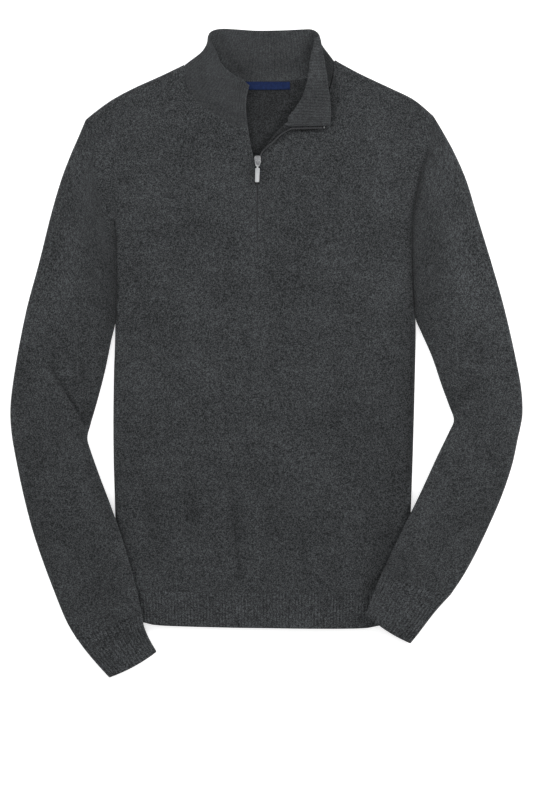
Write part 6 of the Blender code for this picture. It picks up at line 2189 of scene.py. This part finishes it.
class BeadTree:
    """Geometry nodes that put a bead on every point, turned as the point says."""

    def __init__(self) -> None:
        """Build the tree."""
        self.group = bpy.data.node_groups.new("beads_on_points", "GeometryNodeTree")
        face = self.group.interface
        face.new_socket("Places", in_out="INPUT", socket_type="NodeSocketGeometry")
        for name in ("Length", "Width", "Height"):
            face.new_socket(name, in_out="INPUT", socket_type="NodeSocketFloat")
        face.new_socket("Seed", in_out="INPUT", socket_type="NodeSocketInt")
        face.new_socket("Beads", in_out="OUTPUT", socket_type="NodeSocketGeometry")
        given = self.node("NodeGroupInput")
        size = self.node("ShaderNodeCombineXYZ", X=given["Length"], Y=given["Width"], Z=given["Height"])
        ball = self.node("GeometryNodeMeshUVSphere", Segments=8, Rings=5, Radius=0.5)
        bead = self.node("GeometryNodeTransform", Geometry=ball["Mesh"], Scale=size["Vector"])
        turn = self.node("GeometryNodeInputNamedAttribute", {"data_type": "FLOAT_VECTOR"}, Name="turn")
        euler = self.node("FunctionNodeEulerToRotation", Euler=turn["Attribute"])
        uneven = self.node("FunctionNodeRandomValue", {"data_type": "FLOAT"}, Seed=given["Seed"])
        scale = self.node("ShaderNodeMapRange", Value=uneven[1])
        scale.node.inputs["To Min"].default_value = 0.88
        scale.node.inputs["To Max"].default_value = 1.08
        placed = self.node("GeometryNodeInstanceOnPoints", Points=given["Places"], Instance=bead["Geometry"],
                           Rotation=euler["Rotation"], Scale=scale["Result"])
        real = self.node("GeometryNodeRealizeInstances", Geometry=placed["Instances"])
        smooth = self.node("GeometryNodeSetShadeSmooth", Geometry=real["Geometry"])
        dressed = self.node("GeometryNodeSetMaterial", Geometry=smooth["Geometry"])
        self.node("NodeGroupOutput", Beads=dressed["Geometry"])

    def node(self, kind: str, settings: dict | None = None, **inputs: object) -> "Made":
        """Add a node, with its settings first and then the values or links of its sockets."""
        made = self.group.nodes.new(kind)
        for name, value in (settings or {}).items():
            setattr(made, name, value)
        for name, value in inputs.items():
            socket = next(s for s in made.inputs if s.name == name and s.enabled)
            if isinstance(value, bpy.types.NodeSocket):
                self.group.links.new(value, socket)
            else:
                socket.default_value = value
        return Made(made)

    def identifier(self, name: str) -> str:
        """A named input's identifier."""
        return next(item.identifier for item in self.group.interface.items_tree
                    if item.name == name and item.in_out == "INPUT")


@dataclass
class Made:
    """A node that was made, for its outputs by name or number."""

    node: bpy.types.Node

    def __getitem__(self, key: str | int) -> bpy.types.NodeSocket:
        """One of its outputs."""
        return self.node.outputs[key]


@dataclass
class Sewing:
    """Rows of stitches that show: the topstitching of the zip, and the linking of the seams."""

    collar: Collar
    stitch: float = 2.6                 # from one topstitch to the next
    link: float = 2.4                   # from one linking stitch to the next
    chain: float = 1.7                  # the same in the armholes, where the chain runs along the seam
    from_zip: float = 9.6               # topstitching from the edge of the opening

    def on_body(self, plan: Array, lift: float) -> Array:
        """Places on the front's upper face."""
        return np.column_stack([plan, BODY.top(plan[:, 0], plan[:, 1]) + lift])

    def on_collar(self, columns: Array, levels: Array, side: int, lift: float) -> Array:
        """Places on a face of the collar: 1 for the inside of the neck, -1 for the outside."""
        grid = self.collar.surface(columns, levels)
        up = normals(grid)
        return grid + up * side * (WALL / 2 + lift)

    def topstitching(self) -> Stitches:
        """Two rows beside the zip and one across below it; the left row goes on up the collar."""
        marks = Stitches()
        centre = (SLIT_LEFT_X + SLIT_RIGHT_X) / 2
        left = np.vstack([[(centre - self.from_zip, y) for y in np.linspace(SLIT_END_Y, SLIDER_Y, 60)],
                          path(V_LEFT_LOW, np.linspace(0.1, 1, 12)) - (self.from_zip - 0.5, 0),
                          path(V_LEFT, np.linspace(0.05, 0.98, 20)) - (self.from_zip - 0.5, 0)])
        marks.along(self.on_body(left, 0.05), self.stitch)
        right = np.array([(centre + self.from_zip, y) for y in np.linspace(SLIT_END_Y, 243.0, 70)])
        marks.along(self.on_body(right, 0.05), self.stitch)
        low = np.array([(x, SLIT_END_Y) for x in np.linspace(left[0, 0], right[0, 0], 12)])
        marks.along(self.on_body(low, 0.05), self.stitch)
        share = self.from_zip / self.collar.length
        near = np.array([share - 0.002, share, share + 0.002])
        line = self.on_collar(near, np.linspace(0.15, 3.9, 40), -1, RIB_RELIEF)[:, 1]
        marks.along(line, self.stitch)
        return marks

    def linking(self) -> Stitches:
        """Chain of linking stitches in the armholes, the shoulder seams, the hem and the neck."""
        marks = Stitches()
        for lower, upper in ((ARMHOLE_LEFT, ARMHOLE_TOP_LEFT), (ARMHOLE_RIGHT, ARMHOLE_TOP_RIGHT)):
            plan = np.vstack([path(lower, np.linspace(0.04, 0.99, 90)), path(upper, np.linspace(0.03, 0.85, 24))])
            level = np.concatenate([np.full(90, EDGE_TOP - SEAM_DIP - 0.5), np.linspace(0, 1, 24) * 0.4
                                    + EDGE_TOP - SEAM_DIP - 0.5])
            marks.along(np.column_stack([plan, level]), self.chain, 18)
        for seam in (SHOULDER_SEAM_LEFT, SHOULDER_SEAM_RIGHT):
            plan = path(seam, np.linspace(0.02, 0.98, 80))
            marks.along(self.on_body(plan, -0.35), self.link, 62)
        hem = path(HEM_TOP, np.linspace(0.02, 0.98, 160)) - (0, SEAM_GAP / 2)
        marks.along(self.on_body(hem, -0.4), self.link, 62)
        for neck in (NECK_FRONT_LEFT,):
            plan = path(neck, np.linspace(0.03, 0.97, 60)) + (0, 0.6)
            marks.along(self.on_body(plan, -0.3), self.link, 62)
        back = path(NECK_BACK, np.linspace(0.04, 0.96, 120))
        for drop, lean in ((0.2, 62), (-2.0, -62)):
            line = np.column_stack([back + (0, drop), np.full(len(back), WALL - 0.1)])
            marks.along(line, self.link, lean)
        return marks


# --- studio --------------------------------------------------------------------------------

@dataclass
class Studio:
    """Floor, soft lights and the camera, in metres."""

    photo: tuple[int, int] = (533, 800)
    pixel: float = 0.00122              # of the photograph, on the garment
    middle: tuple[float, float] = (266.5, 352.5)    # the origin's place in the photograph
    height: float = 3.2
    cloth_level: float = 0.008
    floor_level: float = -0.0006
    left_key: float = 22.0
    right_key: float = 31.0
    top_key: float = 4.0
    overhead: float = 13.0
    ambient: float = 0.52

    def make(self) -> None:
        """Set everything up."""
        self.floor()
        self.light("left_light", (-1.5, 1.45, 1.05), 0.7, self.left_key)
        self.light("right_light", (1.95, 0.8, 1.05), 0.7, self.right_key)
        self.light("top_light", (0.1, 2.1, 1.1), 0.8, self.top_key)
        self.light("overhead_light", (0.1, -0.45, 2.7), 2.4, self.overhead)
        world = bpy.data.worlds.new("studio")
        world.use_nodes = True
        background = world.node_tree.nodes["Background"]
        background.inputs["Color"].default_value = (1.0, 1.0, 1.0, 1)
        background.inputs["Strength"].default_value = self.ambient
        scene = bpy.context.scene
        scene.world = world
        scene.view_settings.view_transform = "Standard"
        scene.camera = self.camera()

    def floor(self) -> None:
        """A wide pale sweep under the garment."""
        mesh = bpy.data.meshes.new("floor_sweep")
        reach = 6.0
        mesh.from_pydata([(x * reach, y * reach, self.floor_level) for x, y in
                          ((-1, -1), (1, -1), (1, 1), (-1, 1))], [], [(0, 1, 2, 3)])
        thing = bpy.data.objects.new("floor_sweep", mesh)
        bpy.context.scene.collection.objects.link(thing)
        mesh.materials.append(Paper().material())
        thing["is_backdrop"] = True

    def light(self, name: str, place: Point, size: float, power: float) -> None:
        """A soft square light that looks at the garment."""
        data = bpy.data.lights.new(name, "AREA")
        data.size = size
        data.energy = power
        thing = bpy.data.objects.new(name, data)
        thing.location = place
        thing.rotation_euler = (-Vector(place)).to_track_quat("-Z", "Y").to_euler()
        bpy.context.scene.collection.objects.link(thing)

    def camera(self) -> bpy.types.Object:
        """A camera straight above, framed as the photograph."""
        data = bpy.data.cameras.new("camera")
        width, long_side = self.photo
        view = long_side * self.pixel
        data.lens = data.sensor_width * (self.height - self.cloth_level) / view
        thing = bpy.data.objects.new("camera", data)
        x = (width / 2 - self.middle[0]) * self.pixel
        y = (self.middle[1] - long_side / 2) * self.pixel
        thing.location = (x, y, self.height)
        bpy.context.scene.collection.objects.link(thing)
        return thing


# --- making --------------------------------------------------------------------------------

def make_body() -> None:
    """The back, the front and both layers of the hem."""
    hem = HemBand()
    for (thing, facts), finish, node in (
            (BackPanel().make(), KNIT, "back"), (FrontPanel().make(), KNIT, "front"),
            (hem.make_back(), RIB, "hem_back"), (hem.make_front(), RIB, "hem_front")):
        facts.declare(finished(thing, finish, SWEATER_BODY, node))


def make_sleeves() -> None:
    """Both sleeves and their cuffs."""
    on_body = ("front_panel", "front_hem_rib")
    pieces = (
        (Sleeve("left_sleeve_knit", SLEEVE_LEFT, ARMHOLE_LEFT, ARMHOLE_TOP_LEFT, -1, 21, on_body),
         KNIT, "sleeve_left"),
        (Sleeve("right_sleeve_knit", SLEEVE_RIGHT, ARMHOLE_RIGHT, ARMHOLE_TOP_RIGHT, 1, 34, on_body),
         KNIT, "sleeve_right"),
        (Cuff("left_cuff_rib", CUFF_LEFT, on_body), RIB, "cuff_left"),
        (Cuff("right_cuff_rib", CUFF_RIGHT, on_body), RIB, "cuff_right"))
    for piece, finish, node in pieces:
        thing, facts = piece.make()
        facts.declare(finished(thing, finish, SWEATER_BODY, node))


def make_neck() -> None:
    """The collar, the label, the zip and the sewing."""
    collar = Collar()
    thing, facts = collar.make()
    facts.declare(finished(thing, FINE_RIB, SWEATER_BODY, "collar"))
    finished(*NeckLabel().make(), SWEATER_BODY, "neck_label")
    fastener = ZipFastener(collar)
    finished(fastener.left_tape(), TAPE, SWEATER_BODY, "zip_tape_left")
    finished(fastener.right_tape(), TAPE, SWEATER_BODY, "zip_tape_right")
    # the slider and the top stop use the nickel drawn darker, as painted shade
    finished(fastener.slider(), NICKEL_PAINTED_SHADE, SWEATER_BODY, "zip_slider")
    finished(fastener.pull(), METAL, PULL_BODY, "zip_pull")
    finished(fastener.top_stop(), NICKEL_PAINTED_SHADE, SWEATER_BODY)
    finished(fastener.coil().to_object("zip_coil", (2.3, 0.72, 0.9), 3), COIL, SWEATER_BODY)
    sewing = Sewing(collar)
    finished(sewing.topstitching().to_object("topstitching", (2.3, 0.62, 0.5), 5), SEWING, SWEATER_BODY)
    finished(sewing.linking().to_object("seam_linking", (2.1, 0.95, 0.8), 7), LINKING, SWEATER_BODY)


def corners() -> list[list[float]]:
    """The whole object's box, as plain numbers."""
    return [[float(value) for value in corner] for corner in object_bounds()]


def main() -> None:
    """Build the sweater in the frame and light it."""
    logging.basicConfig(level=logging.INFO, format="%(name)s: %(message)s")
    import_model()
    Studio().make()
    make_body()
    make_sleeves()
    make_neck()


if __name__ == "__main__":
    main()
